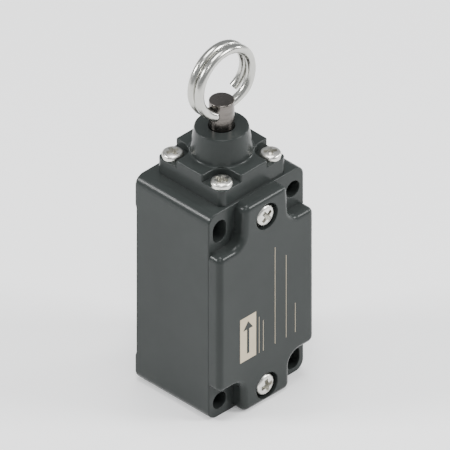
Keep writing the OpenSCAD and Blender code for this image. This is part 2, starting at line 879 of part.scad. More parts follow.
// Room for the carriage, the bridges and the legs of the fixed contacts
module block_chambers() {
  translate([-guide_w / 2, -guide_w / 2, follower_z])
    cube([guide_w, guide_w, block_z1 - follower_z + over]);
  translate([-bridge_room, -bridge_depth, no_strip_z0 - chamber_gap])
    cube([2 * bridge_room, 2 * bridge_depth, no_leg_z1 - no_strip_z0 + chamber_gap]);
  translate([-bridge_room, -bridge_depth, nc_leg_z0])
    cube([2 * bridge_room, 2 * bridge_depth, nc_strip_z1 - nc_leg_z0 + travel + chamber_gap]);
  for (side = [0, 1], z = [no_leg_z0, nc_leg_z0])
    mirror([side, 0, 0])
      translate([leg_x0 - face_gap, -block_front - over, z - face_gap])
        cube([leg_x1 - leg_x0 + 2 * face_gap, block_front + over + contact_depth + face_gap,
              strip_t + 2 * face_gap]);
}

module block_screw_holes(d) {
  for (side = [-1, 1])
    translate([side * terminal_x, block_rear + over, block_screw_z])
      facing_front() cylinder(d = d, h = block_front + block_rear + 2 * over);
}

module block_base() {
  color(block_cream)
    difference() {
      translate([-block_w / 2, 0, block_z0]) cube([block_w, block_rear, block_z1 - block_z0]);
      block_chambers();
      block_screw_holes(terminal_screw_d + screw_gap);
      // Lightening channels in the rear face
      for (side = [-1, 1])
        translate([side * terminal_x - channel_w / 2, contact_depth + channel_web,
                   block_screw_z + channel_margin])
          cube([channel_w, block_rear, boss_z1 - block_screw_z - 2 * channel_margin]);
    }
}

module block_cap() {
  color(block_grey)
    difference() {
      union() {
        translate([-block_w / 2, -block_front, block_z0])
          cube([block_w, block_front, block_z1 - block_z0]);
        // Barrier down the middle and between the upper and lower terminals
        translate([barrier_gap - plate_x0, -block_front - barrier_h, block_z0])
          cube([2 * (plate_x0 - barrier_gap), barrier_h + over, block_z1 - block_z0]);
        translate([-block_w / 2, -block_front - barrier_h, no_leg_z1 + pass_gap])
          cube([block_w, barrier_h + over, leg_gap - 2 * pass_gap]);
      }
      block_chambers();
      block_screw_holes(terminal_screw_d + screw_gap);
      for (side = [-1, 1], z = [no_screw_z, nc_screw_z])
        translate([side * terminal_x, -block_front + terminal_bite + thread_spare, z])
          facing_front() cylinder(d = terminal_screw_d + screw_gap, h = terminal_bite + over);
    }
}

module block_screws() {
  color(screw_steel)
    for (side = [-1, 1])
      translate([side * terminal_x, -block_front, block_screw_z])
        facing_front()
          pan_screw(terminal_head_d, terminal_head_h, terminal_screw_d, block_screw_l);
}

module carriage_window(z0, z1) {
  depth = bridge_w + 2 * window_gap;
  translate([-carriage_w, -depth / 2, z0]) cube([2 * carriage_w, depth, z1 - z0]);
}

module carriage() {
  color(block_cream) {
    difference() {
      translate([-carriage_w / 2, -carriage_w / 2, carriage_z0])
        cube([carriage_w, carriage_w, carriage_z1 - carriage_z0]);
      carriage_window(no_window_z0, no_strip_z1);
      carriage_window(nc_strip_z0, nc_window_z1);
    }
    translate([0, 0, carriage_z1 - eps])
      cylinder(d = carriage_stem_d, h = stem_top - carriage_z1 + eps);
  }
}

module carriage_spring() {
  r = 2.2;
  wire = 0.45;
  turns = 4;
  color(spring_steel)
    translate([0, 0, follower_z]) coil_spring(r, wire, follower_l, turns);
}

// Contact bridge with a rivet at each end; the rivets point along face, 1 up or -1 down
module bridge(z0, face) {
  rivet_z = face > 0 ? z0 + strip_t - eps : z0 - rivet_h;
  color(copper) {
    translate([-bridge_hl, -bridge_w / 2, z0]) cube([2 * bridge_hl, bridge_w, strip_t]);
    for (side = [-1, 1])
      translate([side * rivet_x, 0, rivet_z]) cylinder(d = rivet_d, h = rivet_h + eps);
  }
}

module no_bridge() {
  bridge(no_strip_z0, 1);
}

module nc_bridge() {
  bridge(nc_strip_z0, -1);
}

module bridge_springs() {
  r = 1.3;
  wire = 0.4;
  turns = 4;
  color(spring_steel)
    for (z = [no_window_z0, nc_strip_z1])
      translate([0, 0, z]) coil_spring(r, wire, bridge_spring_l, turns);
}

// Pair of fixed contacts: a leg into the block with its rivet, and a terminal plate that
// runs down (away = -1) or up (away = 1) from the leg along the cap's face
module fixed_contacts(leg_z0, away) {
  plate_len = terminal_drop + plate_half + strip_t;
  plate_z = away > 0 ? leg_z0 : leg_z0 + strip_t - plate_len;
  screw_z = away > 0 ? leg_z0 + strip_t + terminal_drop : leg_z0 - terminal_drop;
  rivet_z = away > 0 ? leg_z0 + strip_t - eps : leg_z0 - rivet_h;
  color(brass)
    for (side = [0, 1])
      mirror([side, 0, 0]) {
        difference() {
          union() {
            translate([leg_x0, -block_front - plate_t, leg_z0])
              cube([leg_x1 - leg_x0, block_front + plate_t + contact_depth, strip_t]);
            translate([plate_x0, -block_front - plate_t, plate_z])
              cube([plate_x1 - plate_x0, plate_t, plate_len]);
          }
          translate([terminal_x, -block_front + over, screw_z])
            facing_front() cylinder(d = terminal_screw_d + 2 * seat_gap, h = plate_t + 2 * over);
          // The leg narrows past the plate's inner side
          translate([leg_x0 - over, -block_front - plate_t - over, leg_z0 - over])
            cube([plate_x0 - leg_x0 + over, plate_t + over, strip_t + 2 * over]);
        }
        translate([rivet_x, 0, rivet_z]) cylinder(d = rivet_d, h = rivet_h + eps);
      }
}

module no_contacts() {
  fixed_contacts(no_leg_z0, -1);
}

module nc_contacts() {
  fixed_contacts(nc_leg_z0, 1);
}

module terminal_places() {
  for (side = [-1, 1], z = [no_screw_z, nc_screw_z])
    translate([side * terminal_x, -block_front - plate_t, z]) facing_front() children();
}

module terminal_clamps() {
  color(screw_steel)
    terminal_places()
      linear_extrude(clamp_t)
        difference() {
          square(clamp_w, center = true);
          circle(d = terminal_screw_d + 2 * seat_gap);
        }
}

module terminal_screws() {
  color(screw_steel)
    terminal_places()
      translate([0, 0, clamp_t])
        pan_screw(terminal_head_d, terminal_head_h, terminal_screw_d, clamp_t + plate_t + terminal_bite);
}

// ---------------------------------------------------------------- earth terminal

module earth_place() {
  translate([0, earth_face, earth_z]) facing_front() children();
}

module earth_clamp() {
  color(screw_steel)
    earth_place()
      linear_extrude(earth_clamp_t)
        difference() {
          square(earth_clamp_w, center = true);
          circle(d = head_screw_d + 2 * seat_gap);
        }
}

module earth_screw() {
  color(screw_steel)
    earth_place()
      translate([0, 0, earth_clamp_t])
        pan_screw(head_screw_head_d, head_screw_head_h, head_screw_d, earth_clamp_t + earth_bite);
}

// ---------------------------------------------------------------- assembly

housing();
cover();
cover_gasket();
cover_screws();
head();
head_gasket();
head_screws();
spring_cup();
guide_bush();
rod_seal();
pull_plunger();
retaining_clip();
spring_seat();
return_spring();
split_ring();
block_base();
block_cap();
block_screws();
carriage();
carriage_spring();
no_bridge();
nc_bridge();
bridge_springs();
no_contacts();
nc_contacts();
terminal_screws();
terminal_clamps();
earth_screw();
earth_clamp();
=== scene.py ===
"""Looks of a rope pull switch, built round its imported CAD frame.

The file is laid out as a Blender add-on: sizes and colours are properties, each group of
pieces has an operator, and a panel in the sidebar lists them. It is run as a script.
"""

import json
import math

import bmesh
import bpy
from mathutils import Matrix, Vector

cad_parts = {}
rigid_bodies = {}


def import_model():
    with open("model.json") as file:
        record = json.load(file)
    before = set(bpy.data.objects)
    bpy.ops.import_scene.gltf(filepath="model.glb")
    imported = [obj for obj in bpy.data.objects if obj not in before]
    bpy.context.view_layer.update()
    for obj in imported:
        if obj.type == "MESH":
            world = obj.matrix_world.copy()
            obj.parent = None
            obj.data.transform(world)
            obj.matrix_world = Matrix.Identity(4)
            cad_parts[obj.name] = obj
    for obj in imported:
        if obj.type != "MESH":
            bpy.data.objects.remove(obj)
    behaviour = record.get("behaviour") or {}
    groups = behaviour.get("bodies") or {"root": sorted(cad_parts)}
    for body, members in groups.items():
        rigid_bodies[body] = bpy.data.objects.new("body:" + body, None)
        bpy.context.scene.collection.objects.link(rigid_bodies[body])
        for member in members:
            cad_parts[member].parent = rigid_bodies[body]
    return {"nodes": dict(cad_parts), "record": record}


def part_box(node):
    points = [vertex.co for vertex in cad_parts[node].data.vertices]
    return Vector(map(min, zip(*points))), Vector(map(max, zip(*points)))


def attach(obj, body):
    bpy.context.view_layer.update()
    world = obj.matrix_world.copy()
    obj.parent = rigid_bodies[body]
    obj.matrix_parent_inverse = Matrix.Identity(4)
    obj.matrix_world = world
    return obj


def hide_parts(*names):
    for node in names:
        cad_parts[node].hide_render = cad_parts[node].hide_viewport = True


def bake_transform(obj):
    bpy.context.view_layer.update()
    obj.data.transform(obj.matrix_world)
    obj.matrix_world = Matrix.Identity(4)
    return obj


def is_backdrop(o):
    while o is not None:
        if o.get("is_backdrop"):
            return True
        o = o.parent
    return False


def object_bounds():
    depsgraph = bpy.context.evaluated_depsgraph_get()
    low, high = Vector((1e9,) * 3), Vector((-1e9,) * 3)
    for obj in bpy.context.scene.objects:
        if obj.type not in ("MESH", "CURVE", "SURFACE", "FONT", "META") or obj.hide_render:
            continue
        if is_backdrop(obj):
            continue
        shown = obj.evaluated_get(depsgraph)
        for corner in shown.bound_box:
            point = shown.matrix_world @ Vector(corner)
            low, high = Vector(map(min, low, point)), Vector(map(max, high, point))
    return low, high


bl_info = {
    "name": "Rope pull switch",
    "version": (1, 0, 0),
    "blender": (4, 5, 0),
    "location": "View3D > Sidebar > Switch",
    "description": "Dresses the packed frame of a rope pull switch",
    "category": "Object",
}

for leftover in list(bpy.data.objects):
    bpy.data.objects.remove(leftover)

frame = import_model()
cad_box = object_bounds()

MM = 0.001
MICRON = 0.000001
TAU = 2 * math.pi

# Places of the pieces, from the frame and its record
HOUSING_LO, HOUSING_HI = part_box("housing")
COVER_LO, COVER_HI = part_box("cover")
HEAD_LO, HEAD_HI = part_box("head")
CUP_LO, CUP_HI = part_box("spring_cup")
BUSH_LO, BUSH_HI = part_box("guide_bush")
SEAL_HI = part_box("rod_seal")[1]
GASKET_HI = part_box("cover_gasket")[1]
COVER_SCREW_LO, COVER_SCREW_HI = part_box("cover_screws")
HEAD_SCREW_LO, HEAD_SCREW_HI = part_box("head_screws")
PLUNGER_LO, PLUNGER_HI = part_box("pull_plunger")
CLIP_LO, CLIP_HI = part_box("retaining_clip")
BLOCK_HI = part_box("block_base")[1]
BLOCK_SCREW_LO, BLOCK_SCREW_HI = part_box("block_screws")
EARTH_CLAMP_LO, EARTH_CLAMP_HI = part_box("earth_clamp")
MOUNTS = {m["name"]: m for m in frame["record"]["mounts"]}
FIX_HIGH = Vector(MOUNTS["fixing_hole_upper_right"]["pos_m"])
FIX_LOW = Vector(MOUNTS["fixing_hole_lower_left"]["pos_m"])
FIX_R = MOUNTS["fixing_hole_upper_right"]["dims"]["r_mm"] * MM
ENTRY_R = MOUNTS["cable_entry"]["dims"]["r_mm"] * MM

# Clearance of a seated and of a passing piece, and how far a cutter runs past the solid
SEAT_GAP = 0.03 * MM
PASS_GAP = 0.3 * MM
OVER = 1.0 * MM

# Cavity behind the cover
CAVITY_HALF = 16.2 * MM
CAVITY_LOW = 14.15 * MM
CAVITY_HIGH = 56.75 * MM
CAVITY_REAR = 12.9 * MM
CAVITY_CORNER = 2.5 * MM

# Screws: radius of the shank, and radius and height of the head
COVER_SCREW_R, COVER_SCREW_HEAD_R, COVER_SCREW_HEAD_H = 2.0 * MM, 3.5 * MM, 2.3 * MM
HEAD_SCREW_R, HEAD_SCREW_HEAD_R, HEAD_SCREW_HEAD_H = 1.75 * MM, 3.25 * MM, 1.9 * MM
BLOCK_SCREW_R, BLOCK_SCREW_HEAD_R = 1.5 * MM, 2.8 * MM
HEAD_SCREW_OFFSET = 10 * MM
HEAD_SCREW_PLACES = [
    (x, y, 0)
    for x in (-HEAD_SCREW_OFFSET, HEAD_SCREW_OFFSET)
    for y in (-HEAD_SCREW_OFFSET, HEAD_SCREW_OFFSET)
]

# Centre of the ring's eye, and its drop from the plunger's top
EYE_DROP = 3.65 * MM
EYE_Z = PLUNGER_HI.z - EYE_DROP


# ------------------------------------------------------------------ properties


def length(name, description, default):
    """A size in the scene's length unit."""
    return bpy.props.FloatProperty(
        name=name, description=description, default=default, min=0,
        precision=5, unit="LENGTH", subtype="DISTANCE",
    )


def colour(name, description, default):
    """A colour without alpha."""
    return bpy.props.FloatVectorProperty(
        name=name, description=description, default=default, min=0, max=1,
        size=3, subtype="COLOR",
    )


class SwitchSizes(bpy.types.PropertyGroup):
    """Sizes of the finished edges and details."""

    housing_corner: length("Housing corner", "Radius of the housing's corners", 3.4 * MM)
    housing_edge: length("Housing edge", "Radius of the housing's front edges", 0.45 * MM)
    rear_edge: length("Rear edge", "Radius of the housing's rear edges", 0.95 * MM)
    cover_edge: length("Cover edge", "Radius of the cover's front edge", 1.9 * MM)
    cover_corner: length("Cover corner", "Radius of the cover's outer corners", 2.2 * MM)
    notch_corner: length("Notch corner", "Radius in the inner corners of the notches", 4.0 * MM)
    notch_reach: length("Notch reach", "From a fixing hole up to the notch's edge", 6.2 * MM)
    notch_side: length("Notch side", "From a fixing hole across to the tab's side", 5.5 * MM)
    tab_taper: length("Tab taper", "How much the upper tab draws in on each side", 0.8 * MM)
    recess_radius: length("Recess radius", "Radius of the recess round a cover screw", 4.3 * MM)
    head_corner: length("Head corner", "Radius of the head's corners, seen from above", 2.0 * MM)
    head_edge: length("Head edge", "Radius of the head's upper edges", 0.45 * MM)
    pocket_radius: length("Pocket radius", "Radius of the pocket round a head screw", 4.6 * MM)
    collar_foot: length("Collar foot", "Radius of the collar at its foot", 9.3 * MM)
    collar_top: length("Collar top", "Radius of the collar at its top", 8.05 * MM)
    collar_fillet: length("Collar fillet", "Radius of the fillet at the collar's foot", 0.8 * MM)
    collar_edge: length("Collar edge", "Radius of the collar's top edge", 0.5 * MM)
    lip: length("Lip", "Width of the eased rim round holes and recesses", 0.22 * MM)
    rule: length("Rule", "Width of the printed rules on the cover", 0.15 * MM)
    ring_diameter: length("Ring diameter", "Diameter along the middle of the wire", 21.2 * MM)
    ring_wire: length("Ring wire", "Diameter of the ring's wire", 2.85 * MM)


class SwitchColours(bpy.types.PropertyGroup):
    """Colours of the finishes."""

    paint: colour("Paint", "Painted castings", (0.0248, 0.0284, 0.0272))
    print_ink: colour("Print", "Printed marks on the cover", (0.47, 0.4, 0.28))
    screw: colour("Screws", "Zinc-plated screws", (0.66, 0.65, 0.61))
    plunger: colour("Plunger", "Turned plunger", (0.135, 0.123, 0.114))
    ring: colour("Ring", "Nickel-plated ring", (0.46, 0.458, 0.43))
    floor: colour("Floor", "Floor and backdrop", (0.9, 0.9, 0.9))


# ------------------------------------------------------------------ mesh tools

# Distances below which points count as one: in a cutter, in a test and in a finished piece
CUTTER_MERGE = 1e-7
SAME_PLACE = 1e-6
PIECE_MERGE = 1e-6
PLACE_DIGITS = 6


def clamped(value, low, high):
    """The value, held between two limits."""
    return max(low, min(high, value))


def arc(x, z, radius, start, end, steps):
    """Points of an arc about (x, z), angles in degrees."""
    turns = [math.radians(start + (end - start) * i / steps) for i in range(steps + 1)]
    return [(x + radius * math.cos(a), z + radius * math.sin(a)) for a in turns]


def eased_rim(radius, top, lip):
    """Points of a cutter's side where it eases the rim of a hole at height top."""
    return arc(radius + lip, top - lip, lip, 180, 90, 4)


def box(low, high):
    """Box between two corners."""
    bm = bmesh.new()
    bmesh.ops.create_cube(bm, size=1)
    bmesh.ops.scale(bm, vec=Vector(high) - Vector(low), verts=bm.verts)
    bmesh.ops.translate(bm, vec=(Vector(low) + Vector(high)) / 2, verts=bm.verts)
    return bm


def round_edges(bm, chosen, radius, segments):
    """Rounds the edges that the test picks."""
    bmesh.ops.bevel(
        bm, geom=[e for e in bm.edges if chosen(e)], offset=radius, offset_type="OFFSET",
        segments=segments, profile=0.5, affect="EDGES", clamp_overlap=False, material=-1,
    )
    return bm


def runs_along(axis):
    """Test for an edge parallel to axis 0, 1 or 2."""

    def test(edge):
        span = edge.verts[1].co - edge.verts[0].co
        return abs(span[axis]) > 0.999 * span.length

    return test


def lies_at(axis, place):
    """Test for an edge whose two ends lie on the plane at that place."""
    return lambda edge: all(abs(v.co[axis] - place) < SAME_PLACE for v in edge.verts)


def stands_on(corners):
    """Test for an edge along Y at one of the points (x, z), on either side of the middle."""
    along = runs_along(1)
    spots = {(round(x, PLACE_DIGITS), round(z, PLACE_DIGITS)) for x, z in corners}

    def test(edge):
        co = edge.verts[0].co
        return along(edge) and (round(abs(co.x), PLACE_DIGITS), round(co.z, PLACE_DIGITS)) in spots

    return test


def prism(points, axis, start, end):
    """Solid from an outline of corner points in the plane across axis."""
    bm = bmesh.new()
    others = [i for i in range(3) if i != axis]
    verts = []
    for point in points:
        place = Vector()
        place[axis] = start
        place[others[0]], place[others[1]] = point
        verts.append(bm.verts.new(place))
    extruded = bmesh.ops.extrude_face_region(bm, geom=[bm.faces.new(verts)])
    moved = [v for v in extruded["geom"] if isinstance(v, bmesh.types.BMVert)]
    shift = Vector()
    shift[axis] = end - start
    bmesh.ops.translate(bm, vec=shift, verts=moved)
    bmesh.ops.recalc_face_normals(bm, faces=bm.faces)
    return bm


def spun(profile, steps, rise=0.0):
    """Skin of points (radius, height) spun once about Z, lifted by rise on the way."""
    bm = bmesh.new()
    verts = [bm.verts.new((r, 0, h)) for r, h in profile]
    edges = [bm.edges.new(pair) for pair in zip(verts, verts[1:])]
    bmesh.ops.spin(
        bm, geom=verts + edges, cent=(0, 0, 0), axis=(0, 0, 1), dvec=(0, 0, rise / steps),
        angle=TAU, steps=steps, use_merge=not rise, use_duplicate=False,
    )
    bmesh.ops.remove_doubles(bm, verts=bm.verts, dist=CUTTER_MERGE)
    return bm


def lathe(profile, steps=96):
    """Solid turned about Z from points (radius, height) that start and end on the axis."""
    bm = spun(profile, steps)
    bmesh.ops.recalc_face_normals(bm, faces=bm.faces)
    return bm


def rod(radius, low, high, steps=64):
    """Plain round solid about Z."""
    return lathe([(0, low), (radius, low), (radius, high), (0, high)], steps)


def turned(bm, degrees):
    """Turns a solid about Z."""
    turn = Matrix.Rotation(math.radians(degrees), 3, "Z")
    bmesh.ops.rotate(bm, cent=(0, 0, 0), matrix=turn, verts=bm.verts)
    return bm


def placed(bm, where, facing="Z"):
    """Moves a solid that was made about Z. Facing Y points its top to the front."""
    turn = {
        "Z": Matrix(),
        "Y": Matrix.Rotation(math.radians(90), 4, "X"),
        "X": Matrix.Rotation(math.radians(90), 4, "Y"),
    }[facing]
    bmesh.ops.transform(bm, matrix=Matrix.Translation(where) @ turn, verts=bm.verts)
    return bm


def joined(parts):
    """One bmesh that holds several solids."""
    whole = bmesh.new()
    for part in parts:
        mesh = bpy.data.meshes.new("part")
        part.to_mesh(mesh)
        part.free()
        whole.from_mesh(mesh)
        bpy.data.meshes.remove(mesh)
    return whole


def linked(name, data):
    """Puts a mesh, a curve, a lamp or a camera into the scene as an object."""
    new = bpy.data.objects.new(name, data)
    bpy.context.scene.collection.objects.link(new)
    return new


def solid(name, bm):
    """Object at the origin from a bmesh."""
    mesh = bpy.data.meshes.new(name)
    bm.to_mesh(mesh)
    bm.free()
    return linked(name, mesh)


def worked_out(source):
    """New mesh of an object with its modifiers, or its curve's thickness, worked out."""
    graph = bpy.context.evaluated_depsgraph_get()
    return bpy.data.meshes.new_from_object(source.evaluated_get(graph), depsgraph=graph)


def discard(helper):
    """Takes a helper object and its mesh away."""
    mesh = helper.data
    bpy.data.objects.remove(helper)
    bpy.data.meshes.remove(mesh)


def taken(helper):
    """The mesh of a helper object as a bmesh; the object goes."""
    bm = bmesh.new()
    bm.from_mesh(helper.data)
    discard(helper)
    return bm


def combined(body, parts, operation="DIFFERENCE"):
    """Cuts each part from the body, or adds it, and keeps only the result's mesh."""
    tools = [solid("tool", part) for part in parts]
    for tool in tools:
        step = body.modifiers.new("step", "BOOLEAN")
        step.operation = operation
        step.solver = "MANIFOLD"
        step.object = tool
    result = worked_out(body)
    body.modifiers.clear()
    before = body.data
    body.data = result
    bpy.data.meshes.remove(before)
    for tool in tools:
        discard(tool)
    return body


def wire(name, points, diameter):
    """Object of a round wire with closed ends, along a line of points."""
    data = bpy.data.curves.new(name, "CURVE")
    data.dimensions = "3D"
    data.bevel_depth = diameter / 2
    data.bevel_resolution = 8
    data.use_fill_caps = True
    line = data.splines.new("POLY")
    line.points.add(len(points) - 1)
    for point, place in zip(line.points, points):
        point.co = (*place, 1)
    curve = linked(name, data)
    mesh = worked_out(curve)
    bpy.data.objects.remove(curve)
    bpy.data.curves.remove(data)
    return linked(name, mesh)


def dressed(piece, name, finish, body=None, stands_for=()):
    """Names, shades and finishes a piece, and puts it on its body where one is given."""
    piece.name = name
    piece.data.name = name
    bm = bmesh.new()
    bm.from_mesh(piece.data)
    bmesh.ops.remove_doubles(bm, verts=bm.verts, dist=PIECE_MERGE)
    bmesh.ops.dissolve_degenerate(bm, edges=bm.edges, dist=PIECE_MERGE)
    bm.to_mesh(piece.data)
    bm.free()
    piece.data.materials.clear()
    piece.data.materials.append(finish)
    for face in piece.data.polygons:
        face.material_index = 0
    piece.data.shade_smooth()
    piece.data.set_sharp_from_angle(angle=math.radians(30))
    weighted = piece.modifiers.new("Weighted normals", "WEIGHTED_NORMAL")
    weighted.keep_sharp = True
    if body:
        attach(piece, body)
    if stands_for:
        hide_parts(*stands_for)
    return piece


# ------------------------------------------------------------------ finishes

# The part of a noise's range that its colours and roughness are spread over
NOISE_LOW, NOISE_HIGH = 0.3, 0.7


class Finish:
    """Builds one procedural material on Object coordinates."""

    def __init__(self, name, metallic=0.0, **sockets):
        self.material = bpy.data.materials.new(name)
        self.material.use_nodes = True
        self.tree = self.material.node_tree
        self.shader = self.tree.nodes["Principled BSDF"]
        self.shader.inputs["Metallic"].default_value = metallic
        for socket, value in sockets.items():
            self.shader.inputs[socket.replace("_", " ")].default_value = value
        self.coordinates = self.tree.nodes.new("ShaderNodeTexCoord").outputs["Object"]

    def link(self, source, target):
        """Joins two sockets of the material."""
        self.tree.links.new(source, target)

    def noise(self, scale, detail, stretch=(1, 1, 1)):
        """Noise value with its pattern stretched along the axes."""
        mapping = self.tree.nodes.new("ShaderNodeMapping")
        mapping.inputs["Scale"].default_value = stretch
        texture = self.tree.nodes.new("ShaderNodeTexNoise")
        texture.inputs["Scale"].default_value = scale
        texture.inputs["Detail"].default_value = detail
        texture.inputs["Roughness"].default_value = 0.55
        self.link(self.coordinates, mapping.inputs["Vector"])
        self.link(mapping.outputs["Vector"], texture.inputs["Vector"])
        return texture.outputs["Fac"]

    def bands(self, scale, distortion):
        """Turning marks across Z."""
        texture = self.tree.nodes.new("ShaderNodeTexWave")
        texture.bands_direction = "Z"
        texture.inputs["Scale"].default_value = scale
        texture.inputs["Distortion"].default_value = distortion
        texture.inputs["Detail"].default_value = 2
        self.link(self.coordinates, texture.inputs["Vector"])
        return texture.outputs["Fac"]

    def coloured(self, source, base, spread):
        """Base colour that varies by the spread, as a share of itself."""
        ramp = self.tree.nodes.new("ShaderNodeValToRGB")
        low, high = ramp.color_ramp.elements
        low.position, high.position = NOISE_LOW, NOISE_HIGH
        low.color = (*[c * (1 - spread) for c in base], 1)
        high.color = (*[min(1, c * (1 + spread)) for c in base], 1)
        self.link(source, ramp.inputs["Fac"])
        self.link(ramp.outputs["Color"], self.shader.inputs["Base Color"])

    def roughened(self, source, low, high):
        """Roughness that varies between two values."""
        span = self.tree.nodes.new("ShaderNodeMapRange")
        span.inputs["From Min"].default_value = NOISE_LOW
        span.inputs["From Max"].default_value = NOISE_HIGH
        span.inputs["To Min"].default_value = low
        span.inputs["To Max"].default_value = high
        self.link(source, span.inputs["Value"])
        self.link(span.outputs["Result"], self.shader.inputs["Roughness"])

    def bumped(self, *layers):
        """Relief from layers of (source, depth)."""
        normal = None
        for source, depth in layers:
            bump = self.tree.nodes.new("ShaderNodeBump")
            bump.inputs["Distance"].default_value = depth
            bump.inputs["Strength"].default_value = 1
            self.link(source, bump.inputs["Height"])
            if normal:
                self.link(normal, bump.inputs["Normal"])
            normal = bump.outputs["Normal"]
        self.link(normal, self.shader.inputs["Normal"])


finishes_made = {}


def made(name, build):
    """The finish of that name, built once."""
    if name not in finishes_made:
        finishes_made[name] = build(name)
    return finishes_made[name]


def paint_finish(name):
    """Satin dark grey paint over a die casting."""
    base = bpy.context.scene.switch_colours.paint
    f = Finish(name, IOR=1.48, Specular_IOR_Level=0.16)
    f.coloured(f.noise(scale=90, detail=2), base, spread=0.05)
    f.roughened(f.noise(scale=500, detail=3), low=0.22, high=0.25)
    casting = f.noise(scale=420, detail=2)
    grain = f.noise(scale=1900, detail=2)
    f.bumped((casting, 3 * MICRON), (grain, 1 * MICRON))
    return f.material


def metal_finish(base, roughness, spread=0.06, depth=3 * MICRON):
    """A builder of a plain metal with fine marks."""

    def build(name):
        f = Finish(name, metallic=1.0)
        f.coloured(f.noise(scale=260, detail=3), base, spread)
        f.roughened(f.noise(scale=540, detail=3), low=roughness * 0.8, high=roughness * 1.25)
        f.bumped((f.noise(scale=900, detail=4), depth))
        return f.material

    return build


def turned_finish(base, roughness):
    """A builder of a turned metal with marks round its axis."""

    def build(name):
        f = Finish(name, metallic=1.0)
        f.coloured(f.noise(scale=500, detail=4, stretch=(0.3, 0.3, 2)), base, spread=0.12)
        marks = f.noise(scale=900, detail=3, stretch=(0.1, 0.1, 3))
        f.roughened(marks, low=roughness * 0.8, high=roughness * 1.3)
        turning = f.bands(scale=900, distortion=1.5)
        grain = f.noise(scale=1600, detail=2)
        f.bumped((turning, 4 * MICRON), (grain, 3 * MICRON))
        return f.material

    return build


def moulding_finish(base, roughness):
    """A builder of a moulded plastic or rubber."""

    def build(name):
        f = Finish(name, IOR=1.5)
        f.coloured(f.noise(scale=300, detail=2), base, spread=0.04)
        f.roughened(f.noise(scale=1200, detail=2), low=roughness * 0.9, high=roughness * 1.1)
        f.bumped((f.noise(scale=2600, detail=3), 5 * MICRON))
        return f.material

    return build


def satin_paint():
    """The finish that the three castings share."""
    return made("satin_paint", paint_finish)


# Finish of the springs, and of the seat and clip under the return spring
SPRING_WIRE = metal_finish((0.5, 0.51, 0.52), roughness=0.3)


# ------------------------------------------------------------------ stage

# Name of each soft lamp, its place and width in metres, and its power in watts
LAMPS = (
    ("over", (0, 0, 1.2), 0.6, 13.0),
    ("left", (-0.65, 0.47, 0.55), 0.26, 7.6),
    ("right", (0.47, -0.64, 0.58), 0.27, 7.6),
    ("front", (-0.45, -0.45, 0.8), 0.14, 1.8),
    ("side", (0.85, -0.35, 0.3), 0.12, 2.6),
)
LAMP_AIM = Vector((0, 0, 50 * MM))
ROOM_COLOUR = (0.94, 0.97, 1, 1)
ROOM_STRENGTH = 0.5
# Half of the floor's side in metres, and how far it lies below the switch
FLOOR_SIZE = 4.0
FLOOR_DROP = 0.1 * MM
# Width that the camera sees, the point it looks at, and the direction it looks from
VIEW_WIDTH = 130.435 * MM
VIEW_MIDDLE = Vector((0.697, -0.697, 53.10)) * MM
VIEW_FROM = Vector((-1, -1, 1)).normalized()
VIEW_NEAR, VIEW_FAR = 0.01, 20


def aimed(name, data, place, direction):
    """A lamp or a camera at a place, looking in a direction."""
    new = linked(name, data)
    new.location = place
    new.rotation_mode = "QUATERNION"
    new.rotation_quaternion = direction.to_track_quat("-Z", "Y")
    return new


class SWITCH_OT_stage(bpy.types.Operator):
    """Floor, soft lights and the camera"""

    bl_idname = "switch.stage"
    bl_label = "Stage"

    def execute(self, context):
        scene = context.scene
        bm = bmesh.new()
        bmesh.ops.create_grid(bm, x_segments=1, y_segments=1, size=FLOOR_SIZE)
        bmesh.ops.translate(bm, vec=(0, 0, -FLOOR_DROP), verts=bm.verts)
        floor = solid("floor", bm)
        f = Finish("pale_floor", Roughness=0.9, Emission_Strength=0.2)
        f.coloured(f.noise(scale=3, detail=2), scene.switch_colours.floor, spread=0.01)
        floor.data.materials.append(f.material)
        floor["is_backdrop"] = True

        world = bpy.data.worlds.new("soft_room")
        world.use_nodes = True
        background = world.node_tree.nodes["Background"]
        background.inputs["Color"].default_value = ROOM_COLOUR
        background.inputs["Strength"].default_value = ROOM_STRENGTH
        scene.world = world

        for name, place, width, power in LAMPS:
            lamp = bpy.data.lights.new(name, "AREA")
            lamp.shape = "SQUARE"
            lamp.size = width
            lamp.energy = power
            aimed(name, lamp, place, LAMP_AIM - Vector(place))

        view = bpy.data.cameras.new("camera")
        view.type = "ORTHO"
        view.ortho_scale = VIEW_WIDTH
        view.clip_start = VIEW_NEAR
        view.clip_end = VIEW_FAR
        scene.camera = aimed("camera", view, VIEW_MIDDLE + VIEW_FROM, -VIEW_FROM)
        return {"FINISHED"}


# ------------------------------------------------------------------ housing

# Heights of the two pads of the back, and depth and sloping ends of the relief between them.
# The flare widens the cutter outside the housing.
LOWER_PAD, UPPER_PAD = 7.8 * MM, 8.7 * MM
RELIEF_DEPTH, RELIEF_SLOPE, RELIEF_FLARE = 1.0 * MM, 2.2 * MM, 1.1 * MM
# Posts in the cavity, their root in the rear wall, and how far below the contact block's
# top the upper pair stands
POST_R, EARTH_POST_R = 3.2 * MM, 3.6 * MM
POST_ROOT = 13.5 * MM
POST_DROP = 4 * MM
# Ends of the earth screw's bore behind the plunger's axis, and depth of the cover screws'
EARTH_BORE_FRONT, EARTH_BORE_REAR = 8.4 * MM, 14.4 * MM
COVER_THREAD = 4 * MM
# Half of a fixing slot's straight part, the spring cup's flange, and the bore of the stem
SLOT_HALF = 1.0 * MM
CUP_FLANGE = 1.6 * MM
STEM_BORE_R = 4.9 * MM
# Cable entry, and the form of its thread, whose first turn starts below the bore
ENTRY_CHAMFER = 0.4 * MM
ENTRY_TOP = 15.3 * MM
THREAD_PITCH, THREAD_DEPTH = 1.5 * MM, 0.81 * MM
THREAD_FLANK, THREAD_CREST = 0.4 * THREAD_PITCH, 0.1 * THREAD_PITCH
THREAD_START = 1.3
